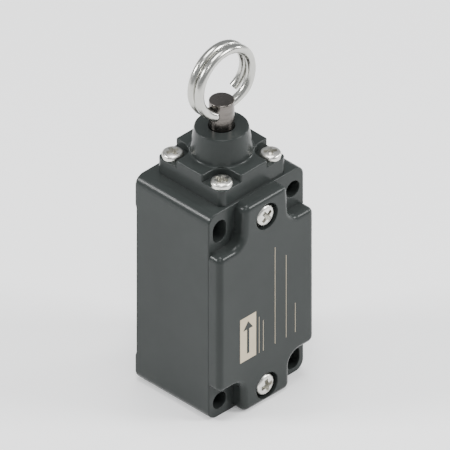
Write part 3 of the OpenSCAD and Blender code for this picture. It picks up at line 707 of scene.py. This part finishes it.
# Steps round a fixing hole and round the thread
HOLE_STEPS = 64


def flared(radius, low, high, lip):
    """Cutter of a round hole about Z whose rim at height high is eased by lip."""
    far = high + 3 * OVER
    rim = eased_rim(radius, high, lip)
    return lathe([(0, low), (radius, low), *rim, (radius + lip, far), (0, far)], HOLE_STEPS)


def slot_cutter(radius, half, low, high, lip):
    """Cutter of a straight slot about Z, long along Y, whose rim at height high is eased."""
    bm = turned(flared(radius, low, high, lip), 180 / HOLE_STEPS)
    for v in bm.verts:
        on_axis = v.co.to_2d().length < 0.1 * MM
        if not on_axis:
            v.co.y += math.copysign(half, v.co.y)
    return bm


def threaded_bore(core, low, high):
    """Cutter of a bore about Z with an internal thread outwards from its core radius."""
    reach = core + THREAD_DEPTH
    profile = []
    for turn in range(math.ceil((high - low) / THREAD_PITCH) + 2):
        start = low + (turn - THREAD_START) * THREAD_PITCH
        crest = start + THREAD_FLANK
        profile += [
            (core, start), (reach, crest), (reach, crest + THREAD_CREST),
            (core, crest + THREAD_CREST + THREAD_FLANK),
        ]
    profile.append((core, profile[-1][1] + THREAD_CREST))
    bm = spun(profile, HOLE_STEPS, rise=THREAD_PITCH)
    for place, out in ((low, -1), (high, 1)):
        cut = bmesh.ops.bisect_plane(
            bm, geom=[*bm.verts, *bm.edges, *bm.faces], plane_co=(0, 0, place),
            plane_no=(0, 0, out), clear_outer=True,
        )
        rim = [e for e in cut["geom_cut"] if isinstance(e, bmesh.types.BMEdge)]
        bmesh.ops.contextual_create(bm, geom=rim)
    bmesh.ops.recalc_face_normals(bm, faces=bm.faces)
    return bm


def cavity_block(grow, front, rear, segments):
    """Cutter with the cavity's outline, grown by that much, between two depths."""
    half = CAVITY_HALF + grow
    bm = box((-half, front, CAVITY_LOW - grow), (half, rear, CAVITY_HIGH + grow))
    return round_edges(bm, runs_along(1), CAVITY_CORNER + grow, segments)


def relief_cutter():
    """Cutter of the shallow relief across the back."""
    face, step = HOUSING_HI.y, HOUSING_HI.z - UPPER_PAD
    profile = [
        (face + OVER, LOWER_PAD - RELIEF_FLARE), (face, LOWER_PAD),
        (face - RELIEF_DEPTH, LOWER_PAD + RELIEF_SLOPE),
        (face - RELIEF_DEPTH, step - RELIEF_SLOPE),
        (face, step), (face + OVER, step + RELIEF_FLARE),
    ]
    return prism(profile, 0, HOUSING_LO.x - OVER, HOUSING_HI.x + OVER)


class SWITCH_OT_housing(bpy.types.Operator):
    """Die-cast housing with its bores, cavity, posts and entry thread"""

    bl_idname = "switch.housing"
    bl_label = "Housing"

    def execute(self, context):
        s = context.scene.switch_sizes
        low, high = HOUSING_LO, HOUSING_HI
        bm = box(low, high)
        round_edges(bm, runs_along(1), s.housing_corner, segments=10)
        round_edges(bm, lies_at(1, low.y), s.housing_edge, segments=3)
        round_edges(bm, lies_at(1, high.y), s.rear_edge, segments=4)
        shell = solid("housing_shell", bm)
        cavity = cavity_block(0, low.y - OVER, CAVITY_REAR, segments=8)
        combined(shell, [relief_cutter(), cavity])

        post_x = BLOCK_SCREW_HI.x - BLOCK_SCREW_HEAD_R
        post_z = (BLOCK_SCREW_LO.z + BLOCK_SCREW_HI.z) / 2
        earth_z = (EARTH_CLAMP_LO.z + EARTH_CLAMP_HI.z) / 2
        posts = [
            placed(rod(POST_R, -POST_ROOT, -BLOCK_HI.y, steps=48), (x, 0, z), "Y")
            for x in (-post_x, post_x) for z in (post_z, BLOCK_HI.z - POST_DROP)
        ]
        earth_post = rod(EARTH_POST_R, -POST_ROOT, -EARTH_CLAMP_HI.y, steps=48)
        combined(shell, [*posts, placed(earth_post, (0, 0, earth_z), "Y")], "UNION")

        front, rear = -low.y, -high.y - OVER
        holes = [
            placed(flared(FIX_R, rear, front, s.lip), (x, 0, z), "Y")
            for x, z in ((FIX_HIGH.x, FIX_HIGH.z), (FIX_LOW.x, FIX_LOW.z))
        ]
        holes += [
            placed(slot_cutter(FIX_R, SLOT_HALF, rear, front, s.lip), (x, 0, z), "Y")
            for x, z in ((FIX_LOW.x, FIX_HIGH.z), (FIX_HIGH.x, FIX_LOW.z))
        ]
        bores = [
            (COVER_SCREW_R, front - COVER_THREAD, front + OVER, 0, z)
            for z in (FIX_LOW.z, FIX_HIGH.z)
        ]
        bores += [
            (BLOCK_SCREW_R, -BLOCK_SCREW_HI.y - PASS_GAP, -BLOCK_HI.y + OVER, x, post_z)
            for x in (-post_x, post_x)
        ]
        bores.append((HEAD_SCREW_R, -EARTH_BORE_REAR, -EARTH_BORE_FRONT, 0, earth_z))
        holes += [
            placed(rod(radius + SEAT_GAP, start, end, steps=32), (x, 0, z), "Y")
            for radius, start, end, x, z in bores
        ]
        foot = HEAD_SCREW_LO.z - PASS_GAP
        holes += [
            placed(rod(HEAD_SCREW_R + SEAT_GAP, foot, high.z + OVER, steps=32), place)
            for place in HEAD_SCREW_PLACES
        ]
        wide = ENTRY_R + ENTRY_CHAMFER
        mouth = lathe([(0, -OVER), (wide + OVER, -OVER), (wide - OVER, OVER), (0, OVER)])
        entry = threaded_bore(ENTRY_R, -THREAD_PITCH, ENTRY_TOP)
        cup_radius = CUP_HI.x - CUP_FLANGE + PASS_GAP
        cup_bore = rod(cup_radius, CUP_LO.z - PASS_GAP, high.z + OVER, steps=96)
        stem_bore = rod(STEM_BORE_R, CAVITY_HIGH - OVER, CUP_LO.z + OVER)
        margin = GASKET_HI.x + SEAT_GAP - CAVITY_HALF
        rebate = cavity_block(margin, low.y - OVER, GASKET_HI.y, segments=8)
        combined(shell, [joined(holes), entry, mouth, cup_bore, stem_bore, rebate])
        dressed(
            shell, "housing_shell", satin_paint(), "housing",
            stands_for=["housing"],
        )
        return {"FINISHED"}


# ------------------------------------------------------------------ cover

# Front wall, step of the hollow inside the cavity's outline, and radius of the screw holes
COVER_WALL = 2.2 * MM
COVER_LIP = 0.5 * MM
COVER_HOLE_R = 2.25 * MM

# Printed field and its arrow: half widths of shaft and wings, and its place in the field
PRINT_FOOT = 18.7 * MM
FIELD_LEFT, FIELD_RIGHT, FIELD_TOP = -11.08 * MM, -4.56 * MM, 34.05 * MM
ARROW_SHAFT, ARROW_WING = 0.5 * MM, 2.0 * MM
ARROW_FOOT = PRINT_FOOT + 2.2 * MM
ARROW_NECK = FIELD_TOP - 4.6 * MM
ARROW_TIP = FIELD_TOP - 1.8 * MM
# Place across and top of each printed rule, in millimetres
PRINT_RULES = ((3.23, 52.9), (7.78, 47.9), (-3.3, 31.5), (-1.6, 29.5), (11.5, 29.1))
# How far the print stands out of the cover and reaches into it
INK_PROUD, INK_DEEP = 0.012 * MM, 0.03 * MM


class SWITCH_OT_cover(bpy.types.Operator):
    """Screwed front cover with a notch at each fixing hole"""

    bl_idname = "switch.cover"
    bl_label = "Cover"

    def execute(self, context):
        s = context.scene.switch_sizes
        low, high = COVER_LO, COVER_HI
        half = FIX_HIGH.x - s.notch_side
        notch_low = FIX_LOW.z + s.notch_reach
        notch_high = FIX_HIGH.z - s.notch_reach
        right = [
            (half, low.z), (half, notch_low), (high.x, notch_low),
            (high.x, notch_high), (half, notch_high), (half - s.tab_taper, high.z),
        ]
        bm = prism(right + [(-x, z) for x, z in reversed(right)], 1, high.y, low.y)
        inner = [right[1], right[4]]
        outer = [point for point in right if point not in inner]
        round_edges(bm, stands_on(inner), s.notch_corner, segments=12)
        round_edges(bm, stands_on(outer), s.cover_corner, segments=10)
        round_edges(bm, lies_at(1, low.y), s.cover_edge, segments=8)
        shell = solid("cover_shell", bm)

        hollow = cavity_block(-COVER_LIP, low.y + COVER_WALL, high.y + OVER, segments=6)
        front, rear = -low.y, -high.y - OVER
        seat = front - COVER_SCREW_HEAD_H
        profile = [
            (0, rear), (COVER_HOLE_R, rear), (COVER_HOLE_R, seat), (s.recess_radius, seat),
            *eased_rim(s.recess_radius, front, s.lip),
            (s.recess_radius + s.lip, front + OVER), (0, front + OVER),
        ]
        recesses = [
            placed(lathe(profile, steps=72), (0, 0, z), "Y") for z in (FIX_LOW.z, FIX_HIGH.z)
        ]
        combined(shell, [hollow, joined(recesses)])
        dressed(
            shell, "cover_shell", satin_paint(), "housing",
            stands_for=["cover"],
        )
        return {"FINISHED"}


class SWITCH_OT_cover_print(bpy.types.Operator):
    """Plain printed field with an arrow for the pull, and plain rules"""

    bl_idname = "switch.cover_print"
    bl_label = "Printed marks"

    def execute(self, context):
        s = context.scene.switch_sizes
        face = COVER_LO.y

        def mark(left, right, top):
            """Printed bar that stands on the foot of the print."""
            return box((left, face - INK_PROUD, PRINT_FOOT), (right, face + INK_DEEP, top))

        middle = (FIELD_LEFT + FIELD_RIGHT) / 2
        arrow = [
            (middle - ARROW_SHAFT, ARROW_FOOT), (middle + ARROW_SHAFT, ARROW_FOOT),
            (middle + ARROW_SHAFT, ARROW_NECK), (middle + ARROW_WING, ARROW_NECK),
            (middle, ARROW_TIP), (middle - ARROW_WING, ARROW_NECK),
            (middle - ARROW_SHAFT, ARROW_NECK),
        ]
        field = solid("field", mark(FIELD_LEFT, FIELD_RIGHT, FIELD_TOP))
        combined(field, [prism(arrow, 1, face - OVER, face + OVER)])
        rules = [
            mark(x * MM - s.rule / 2, x * MM + s.rule / 2, top * MM) for x, top in PRINT_RULES
        ]
        piece = solid("cover_print", joined([taken(field), *rules]))
        ink = context.scene.switch_colours.print_ink
        finish = made("print_ink", moulding_finish(ink, roughness=0.6))
        dressed(piece, "cover_print", finish, "housing")
        return {"FINISHED"}


# ------------------------------------------------------------------ head

HEAD_BLOCK_H = 7.85 * MM
POCKET_DEPTH = 2.45 * MM
POCKET_GAP = 0.15 * MM
HEAD_HOLE_R = 2.0 * MM
# Stepped bore: seat of the gasket, spring chamber, and opening for the plunger
RING_SEAT_R, RING_SEAT_T = 10.73 * MM, 1.2 * MM
CHAMBER_R = 6.6 * MM
OPENING_R, OPENING_EASE = 3.9 * MM, 0.1 * MM
# Radii of the pockets' floor edge and of the block's upright edges, as shares of the top's
FLOOR_EDGE, CORNER_EDGE = 0.6, 1.2


class SWITCH_OT_head(bpy.types.Operator):
    """Head block with its screw pockets and the collar round the plunger"""

    bl_idname = "switch.head"
    bl_label = "Head"

    def execute(self, context):
        s = context.scene.switch_sizes
        foot_z, crown_z = HEAD_LO.z, HEAD_HI.z
        top_z = foot_z + HEAD_BLOCK_H
        floor_z = top_z - POCKET_DEPTH
        half = HEAD_HI.x
        near = HEAD_SCREW_OFFSET - s.pocket_radius
        upright = runs_along(2)

        def spread(edge):
            """The edge's distances from the middle along X and Y, the smaller one first."""
            return sorted((abs(edge.verts[0].co.x), abs(edge.verts[0].co.y)))

        def inner(edge):
            """True for an upright edge where two arms of the cross meet."""
            return upright(edge) and spread(edge)[1] < near + SAME_PLACE

        def outer(edge):
            """True for an upright edge at the end of an arm."""
            lesser, greater = spread(edge)
            on_corner = abs(lesser - near) < SAME_PLACE and abs(greater - half) < SAME_PLACE
            return upright(edge) and on_corner

        foot = box((-half, -half, foot_z), (half, half, floor_z))
        round_edges(foot, upright, s.head_corner, segments=8)
        round_edges(foot, lies_at(2, floor_z), s.head_edge * FLOOR_EDGE, segments=3)
        quarter = [(half, -near), (half, near), (near, near)]
        outline = []
        for turn in range(4):
            outline += [Matrix.Rotation(turn * TAU / 4, 2) @ Vector(point) for point in quarter]
        cross = prism(outline, 2, foot_z, top_z)
        round_edges(cross, inner, s.pocket_radius, segments=12)
        round_edges(cross, outer, s.head_edge * CORNER_EDGE, segments=4)
        round_edges(cross, lies_at(2, top_z), s.head_edge, segments=4)
        block = combined(solid("head_shell", foot), [cross], "UNION")

        edge, fillet = s.collar_edge, s.collar_fillet
        sweep = arc(s.collar_foot + fillet, top_z + fillet, fillet, start=262, end=180, steps=6)
        crown = arc(s.collar_top - edge, crown_z - edge, edge, start=8, end=90, steps=6)
        side = [(0, top_z - OVER), (sweep[0][0], top_z - OVER), *sweep, *crown, (0, crown_z)]
        pockets = [
            placed(rod(s.pocket_radius + POCKET_GAP, floor_z - OVER, top_z + 2 * OVER), place)
            for place in HEAD_SCREW_PLACES
        ]
        collar = combined(solid("collar", lathe(side, steps=128)), [joined(pockets)])
        combined(block, [taken(collar)], "UNION")

        holes = [
            placed(rod(HEAD_HOLE_R, foot_z - OVER, floor_z + 3 * OVER, steps=32), place)
            for place in HEAD_SCREW_PLACES
        ]
        seat_z, bush_radius = foot_z + RING_SEAT_T, BUSH_HI.x + SEAT_GAP
        bore = lathe([
            (0, foot_z - OVER), (RING_SEAT_R, foot_z - OVER), (RING_SEAT_R, seat_z),
            (CHAMBER_R, seat_z), (CHAMBER_R, BUSH_LO.z), (bush_radius, BUSH_LO.z),
            (bush_radius, SEAL_HI.z), (OPENING_R, SEAL_HI.z),
            (OPENING_R, crown_z - OPENING_EASE), (OPENING_R + OPENING_EASE, crown_z),
            (OPENING_R + OPENING_EASE, crown_z + OVER), (0, crown_z + OVER),
        ])
        combined(block, [joined(holes), bore])
        dressed(
            block, "head_shell", satin_paint(), "housing",
            stands_for=["head"],
        )
        return {"FINISHED"}


# ------------------------------------------------------------------ screws

# Height of a head's rounded edge and of its dome, as shares of the head's height, and the
# radii of the dome's rings as shares of the head's
HEAD_ROUNDING, HEAD_DOME = 0.52, 0.1
DOME_RINGS = (0.55, 0.35, 0.15)
DOME_DROP = 1.1
# Length of the shank's pointed tip, and the tip's radius as a share of the shank's
TIP_LENGTH, TIP_SHARE = 0.4 * MM, 0.8
# Half length and half width of a recess's arms as shares of the head's radius, their bottom
# and top as shares of its height, and how much they draw in towards the bottom
ARM_LENGTH, ARM_WIDTH = 0.7, 0.22
ARM_BOTTOM, ARM_TOP = 0.1, 1.3
ARM_TAPER = 0.6
# How far each recess is turned, in degrees: the lower and the upper screw of the cover, and
# the head's screws with their sides along X and Y
COVER_SCREW_TURNS = (8, 38)
HEAD_SCREW_TURNS = ((-1, -1, 20), (1, -1, 55), (-1, 1, 75), (1, 1, 35))


def pan_head(radius, height, shank_radius, shank_length):
    """Pan-head screw about Z with a tapered cross recess, its seat at height 0."""
    edge, dome = height * HEAD_ROUNDING, height * HEAD_DOME
    shoulder = height - edge - dome
    profile = [
        (0, -shank_length), (shank_radius * TIP_SHARE, -shank_length),
        (shank_radius, TIP_LENGTH - shank_length), (shank_radius, 0), (radius, 0),
        (radius, shoulder), *arc(radius - edge, shoulder, edge, start=0, end=72, steps=6)[1:],
        *[(radius * f, height - dome * f * f * DOME_DROP) for f in DOME_RINGS], (0, height),
    ]
    arms = []
    for degrees in (0, 90):
        arm = box(
            (-radius * ARM_LENGTH, -radius * ARM_WIDTH, height * ARM_BOTTOM),
            (radius * ARM_LENGTH, radius * ARM_WIDTH, height * ARM_TOP),
        )
        for v in arm.verts:
            if v.co.z < height:
                v.co.x *= ARM_TAPER
                v.co.y *= ARM_TAPER
        arms.append(turned(arm, degrees))
    return taken(combined(solid("screw", lathe(profile, steps=64)), arms))


class SWITCH_OT_screws(bpy.types.Operator):
    """Cross-recess screws of the cover and the head"""

    bl_idname = "switch.screws"
    bl_label = "Screws"

    def execute(self, context):
        colour_of_screws = context.scene.switch_colours.screw
        zinc = made("zinc_plate", metal_finish(colour_of_screws, roughness=0.3, spread=0.1))
        seat = COVER_SCREW_LO.y + COVER_SCREW_HEAD_H
        size = (COVER_SCREW_HEAD_R, COVER_SCREW_HEAD_H, COVER_SCREW_R, COVER_SCREW_HI.y - seat)
        fronts = [
            placed(turned(pan_head(*size), turn), (0, seat, z), "Y")
            for z, turn in zip((FIX_LOW.z, FIX_HIGH.z), COVER_SCREW_TURNS)
        ]
        dressed(
            solid("fronts", joined(fronts)), "cover_screw_pair", zinc, "housing",
            stands_for=["cover_screws"],
        )
        seat = HEAD_SCREW_HI.z - HEAD_SCREW_HEAD_H
        size = (HEAD_SCREW_HEAD_R, HEAD_SCREW_HEAD_H, HEAD_SCREW_R, seat - HEAD_SCREW_LO.z)
        tops = [
            placed(
                turned(pan_head(*size), turn),
                (x * HEAD_SCREW_OFFSET, y * HEAD_SCREW_OFFSET, seat),
            )
            for x, y, turn in HEAD_SCREW_TURNS
        ]
        dressed(
            solid("tops", joined(tops)), "head_screw_set", zinc, "housing",
            stands_for=["head_screws"],
        )
        return {"FINISHED"}


# ------------------------------------------------------------------ plunger and ring

PLUNGER_R, NECK_R, GROOVE_R = 3.75 * MM, 2.75 * MM, 2.2 * MM
TAIL_CHAMFER = 0.3 * MM
TOP_EDGE = 0.4 * MM
# Room of the clip in its groove, and the plunger's shoulder above the clip
CLIP_SLACK = 0.05 * MM
SHOULDER_RISE = 1.6 * MM
# The eye widens from its straight middle to the plunger's sides
EYE_R, EYE_LIP, EYE_STRAIGHT = 2.25 * MM, 0.35 * MM, 3.25 * MM
EYE_CUT = 6 * MM

# The ring's wire, by its angle round the ring in degrees: nearly two turns that change
# places in the eye, with the first end bent to the front and the last one to the rear
RING_START, RING_END = -118, -45 - 720
RING_STEPS = 260
CROSS_ANGLE, CROSS_HALF = -90 - 360, 60
TURN_GAP = 0.03 * MM
FIRST_BEND, FIRST_BEND_ARC = 0.95 * MM, 37
LAST_BEND, LAST_BEND_ARC = 1.25 * MM, 50


class SWITCH_OT_plunger(bpy.types.Operator):
    """Turned plunger with the ring's eye"""

    bl_idname = "switch.plunger"
    bl_label = "Plunger"

    def execute(self, context):
        tail, top = PLUNGER_LO.z, PLUNGER_HI.z
        groove_low, groove_high = CLIP_LO.z - CLIP_SLACK, CLIP_HI.z + CLIP_SLACK
        shoulder = CLIP_HI.z + SHOULDER_RISE
        profile = [
            (0, tail), (NECK_R - TAIL_CHAMFER, tail), (NECK_R, tail + TAIL_CHAMFER),
            (NECK_R, groove_low), (GROOVE_R, groove_low), (GROOVE_R, groove_high),
            (NECK_R, groove_high), (NECK_R, shoulder), (PLUNGER_R, shoulder),
            *arc(PLUNGER_R - TOP_EDGE, top - TOP_EDGE, TOP_EDGE, start=0, end=90, steps=6),
            (0, top),
        ]
        side = [
            (EYE_R, EYE_STRAIGHT), (EYE_R + EYE_LIP, PLUNGER_R), (EYE_R + 2 * EYE_LIP, EYE_CUT),
        ]
        eye = [(0, -EYE_CUT), *[(r, -x) for r, x in reversed(side)], *side, (0, EYE_CUT)]
        piece = solid("plunger", lathe(profile))
        combined(piece, [placed(lathe(eye, steps=64), (0, 0, EYE_Z), "X")])
        colour_of_steel = context.scene.switch_colours.plunger
        steel = made("turned_steel", turned_finish(colour_of_steel, roughness=0.23))
        dressed(
            piece, "plunger_turned", steel, "plunger",
            stands_for=["pull_plunger"],
        )
        return {"FINISHED"}


def ring_depth(angle, diameter):
    """How far behind the ring's middle the wire lies at an angle."""
    across = clamped((CROSS_ANGLE - angle) / CROSS_HALF, -1, 1)
    rise = math.copysign(abs(math.sin(math.radians(90 * across))) ** 3, across)
    first = clamped((angle - RING_START) / FIRST_BEND_ARC + 1, 0, 1)
    last = clamped((RING_END - angle) / LAST_BEND_ARC + 1, 0, 1)
    layer = (diameter / 2 + TURN_GAP) * rise
    return layer - FIRST_BEND * first * first * (3 - 2 * first) + LAST_BEND * last * last


class SWITCH_OT_split_ring(bpy.types.Operator):
    """Split ring of nearly two turns through the plunger's eye"""

    bl_idname = "switch.split_ring"
    bl_label = "Split ring"

    def execute(self, context):
        s = context.scene.switch_sizes
        radius = s.ring_diameter / 2
        points = []
        for i in range(RING_STEPS + 1):
            angle = RING_START + (RING_END - RING_START) * i / RING_STEPS
            turn = math.radians(angle)
            height = EYE_Z + radius * (1 + math.sin(turn))
            points.append((radius * math.cos(turn), ring_depth(angle, s.ring_wire), height))
        base = context.scene.switch_colours.ring
        plating = metal_finish(base, roughness=0.22, spread=0.03, depth=0.2 * MICRON)
        dressed(
            wire("ring", points, s.ring_wire), "ring_wire", made("nickel_plate", plating), "ring",
            stands_for=["split_ring"],
        )
        return {"FINISHED"}


# ------------------------------------------------------------------ parts inside

# Each coil's node, its wire, its turns, and the bodies at its lower and upper end
COILS = (
    ("return_spring", 1.2 * MM, 7, "slider", "housing"),
    ("carriage_spring", 0.45 * MM, 4, "housing", "carriage"),
)
COIL_STEPS = 32

# Finishes of the parts that keep their CAD shapes, and their nodes
INNER_FINISHES = {
    "black_rubber": moulding_finish((0.018, 0.018, 0.018), roughness=0.6),
    "pressed_brass": metal_finish((0.7, 0.53, 0.25), roughness=0.28),
    "turned_bronze": turned_finish((0.5, 0.33, 0.16), roughness=0.4),
    "spring_wire": SPRING_WIRE,
    "rolled_copper": metal_finish((0.75, 0.42, 0.26), roughness=0.3),
    "cream_moulding": moulding_finish((0.72, 0.66, 0.52), roughness=0.45),
    "grey_moulding": moulding_finish((0.06, 0.07, 0.08), roughness=0.45),
    "inner_zinc_plate": metal_finish((0.7, 0.69, 0.66), roughness=0.32, spread=0.1),
}
INNER_NODES = {
    "black_rubber": ["cover_gasket", "head_gasket", "rod_seal"],
    "pressed_brass": ["spring_cup", "no_contacts", "nc_contacts"],
    "turned_bronze": ["guide_bush"],
    "spring_wire": ["retaining_clip", "spring_seat", "bridge_springs"],
    "rolled_copper": ["no_bridge", "nc_bridge"],
    "cream_moulding": ["block_base", "carriage"],
    "grey_moulding": ["block_cap"],
    "inner_zinc_plate": [
        "block_screws", "terminal_screws", "terminal_clamps", "earth_screw", "earth_clamp",
    ],
}


def coil(radius, diameter, low, high, turns):
    """Points along a compression spring about Z with a closed turn at each end."""
    points = []
    for i in range(turns * COIL_STEPS + 1):
        turn = i / COIL_STEPS
        closed = min(turn, 1) + max(0, turn - turns + 1)
        opened = clamped(turn - 1, 0, turns - 2) / (turns - 2)
        height = low + diameter * (0.5 + closed) + (high - low - 3 * diameter) * opened
        points.append((radius * math.cos(TAU * turn), radius * math.sin(TAU * turn), height))
    return points


class SWITCH_OT_springs(bpy.types.Operator):
    """Coil springs of round wire, built in the places of their CAD parts"""

    bl_idname = "switch.springs"
    bl_label = "Springs"

    def execute(self, context):
        steel = made("spring_wire", SPRING_WIRE)
        for node, diameter, turns, lower, upper in COILS:
            low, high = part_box(node)
            points = coil(high.x - diameter / 2, diameter, low.z, high.z, turns)
            piece = dressed(
                wire(node, points, diameter), f"{node}_wire", steel,
                stands_for=[node],
            )
            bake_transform(piece)
        return {"FINISHED"}


class SWITCH_OT_inner_parts(bpy.types.Operator):
    """Finishes of the parts inside, which keep their CAD shapes"""

    bl_idname = "switch.inner_parts"
    bl_label = "Inner parts"

    def execute(self, context):
        for finish, names in INNER_NODES.items():
            material = made(finish, INNER_FINISHES[finish])
            for name in names:
                node = frame["nodes"][name]
                for place in node.material_slots:
                    place.material = material
                if not node.material_slots:
                    node.data.materials.append(material)
        return {"FINISHED"}


# ------------------------------------------------------------------ add-on

OPERATORS = (
    SWITCH_OT_stage,
    SWITCH_OT_housing,
    SWITCH_OT_cover,
    SWITCH_OT_cover_print,
    SWITCH_OT_head,
    SWITCH_OT_screws,
    SWITCH_OT_plunger,
    SWITCH_OT_split_ring,
    SWITCH_OT_springs,
    SWITCH_OT_inner_parts,
)


class SWITCH_PT_panel(bpy.types.Panel):
    """Lists the sizes, the colours and the operators"""

    bl_idname = "SWITCH_PT_panel"
    bl_label = "Rope pull switch"
    bl_space_type = "VIEW_3D"
    bl_region_type = "UI"
    bl_category = "Switch"

    def draw(self, context):
        for group in (context.scene.switch_sizes, context.scene.switch_colours):
            column = self.layout.column()
            for name in group.__annotations__:
                column.prop(group, name)
        for operator in OPERATORS:
            self.layout.operator(operator.bl_idname)


CLASSES = (SwitchSizes, SwitchColours, *OPERATORS, SWITCH_PT_panel)


def register():
    """Adds the classes and the two groups of properties."""
    for cls in CLASSES:
        bpy.utils.register_class(cls)
    bpy.types.Scene.switch_sizes = bpy.props.PointerProperty(type=SwitchSizes)
    bpy.types.Scene.switch_colours = bpy.props.PointerProperty(type=SwitchColours)


def unregister():
    """Takes the properties and the classes away again."""
    del bpy.types.Scene.switch_colours
    del bpy.types.Scene.switch_sizes
    for cls in reversed(CLASSES):
        bpy.utils.unregister_class(cls)


def main():
    """Registers the add-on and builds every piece."""
    register()
    bpy.ops.switch.stage()
    bpy.ops.switch.housing()
    bpy.ops.switch.cover()
    bpy.ops.switch.cover_print()
    bpy.ops.switch.head()
    bpy.ops.switch.screws()
    bpy.ops.switch.plunger()
    bpy.ops.switch.split_ring()
    bpy.ops.switch.springs()
    bpy.ops.switch.inner_parts()
    boxes = {"cad": cad_box, "visual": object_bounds()}
    {name: [list(corner) for corner in pair] for name, pair in boxes.items()}


if __name__ == "__main__":
    main()
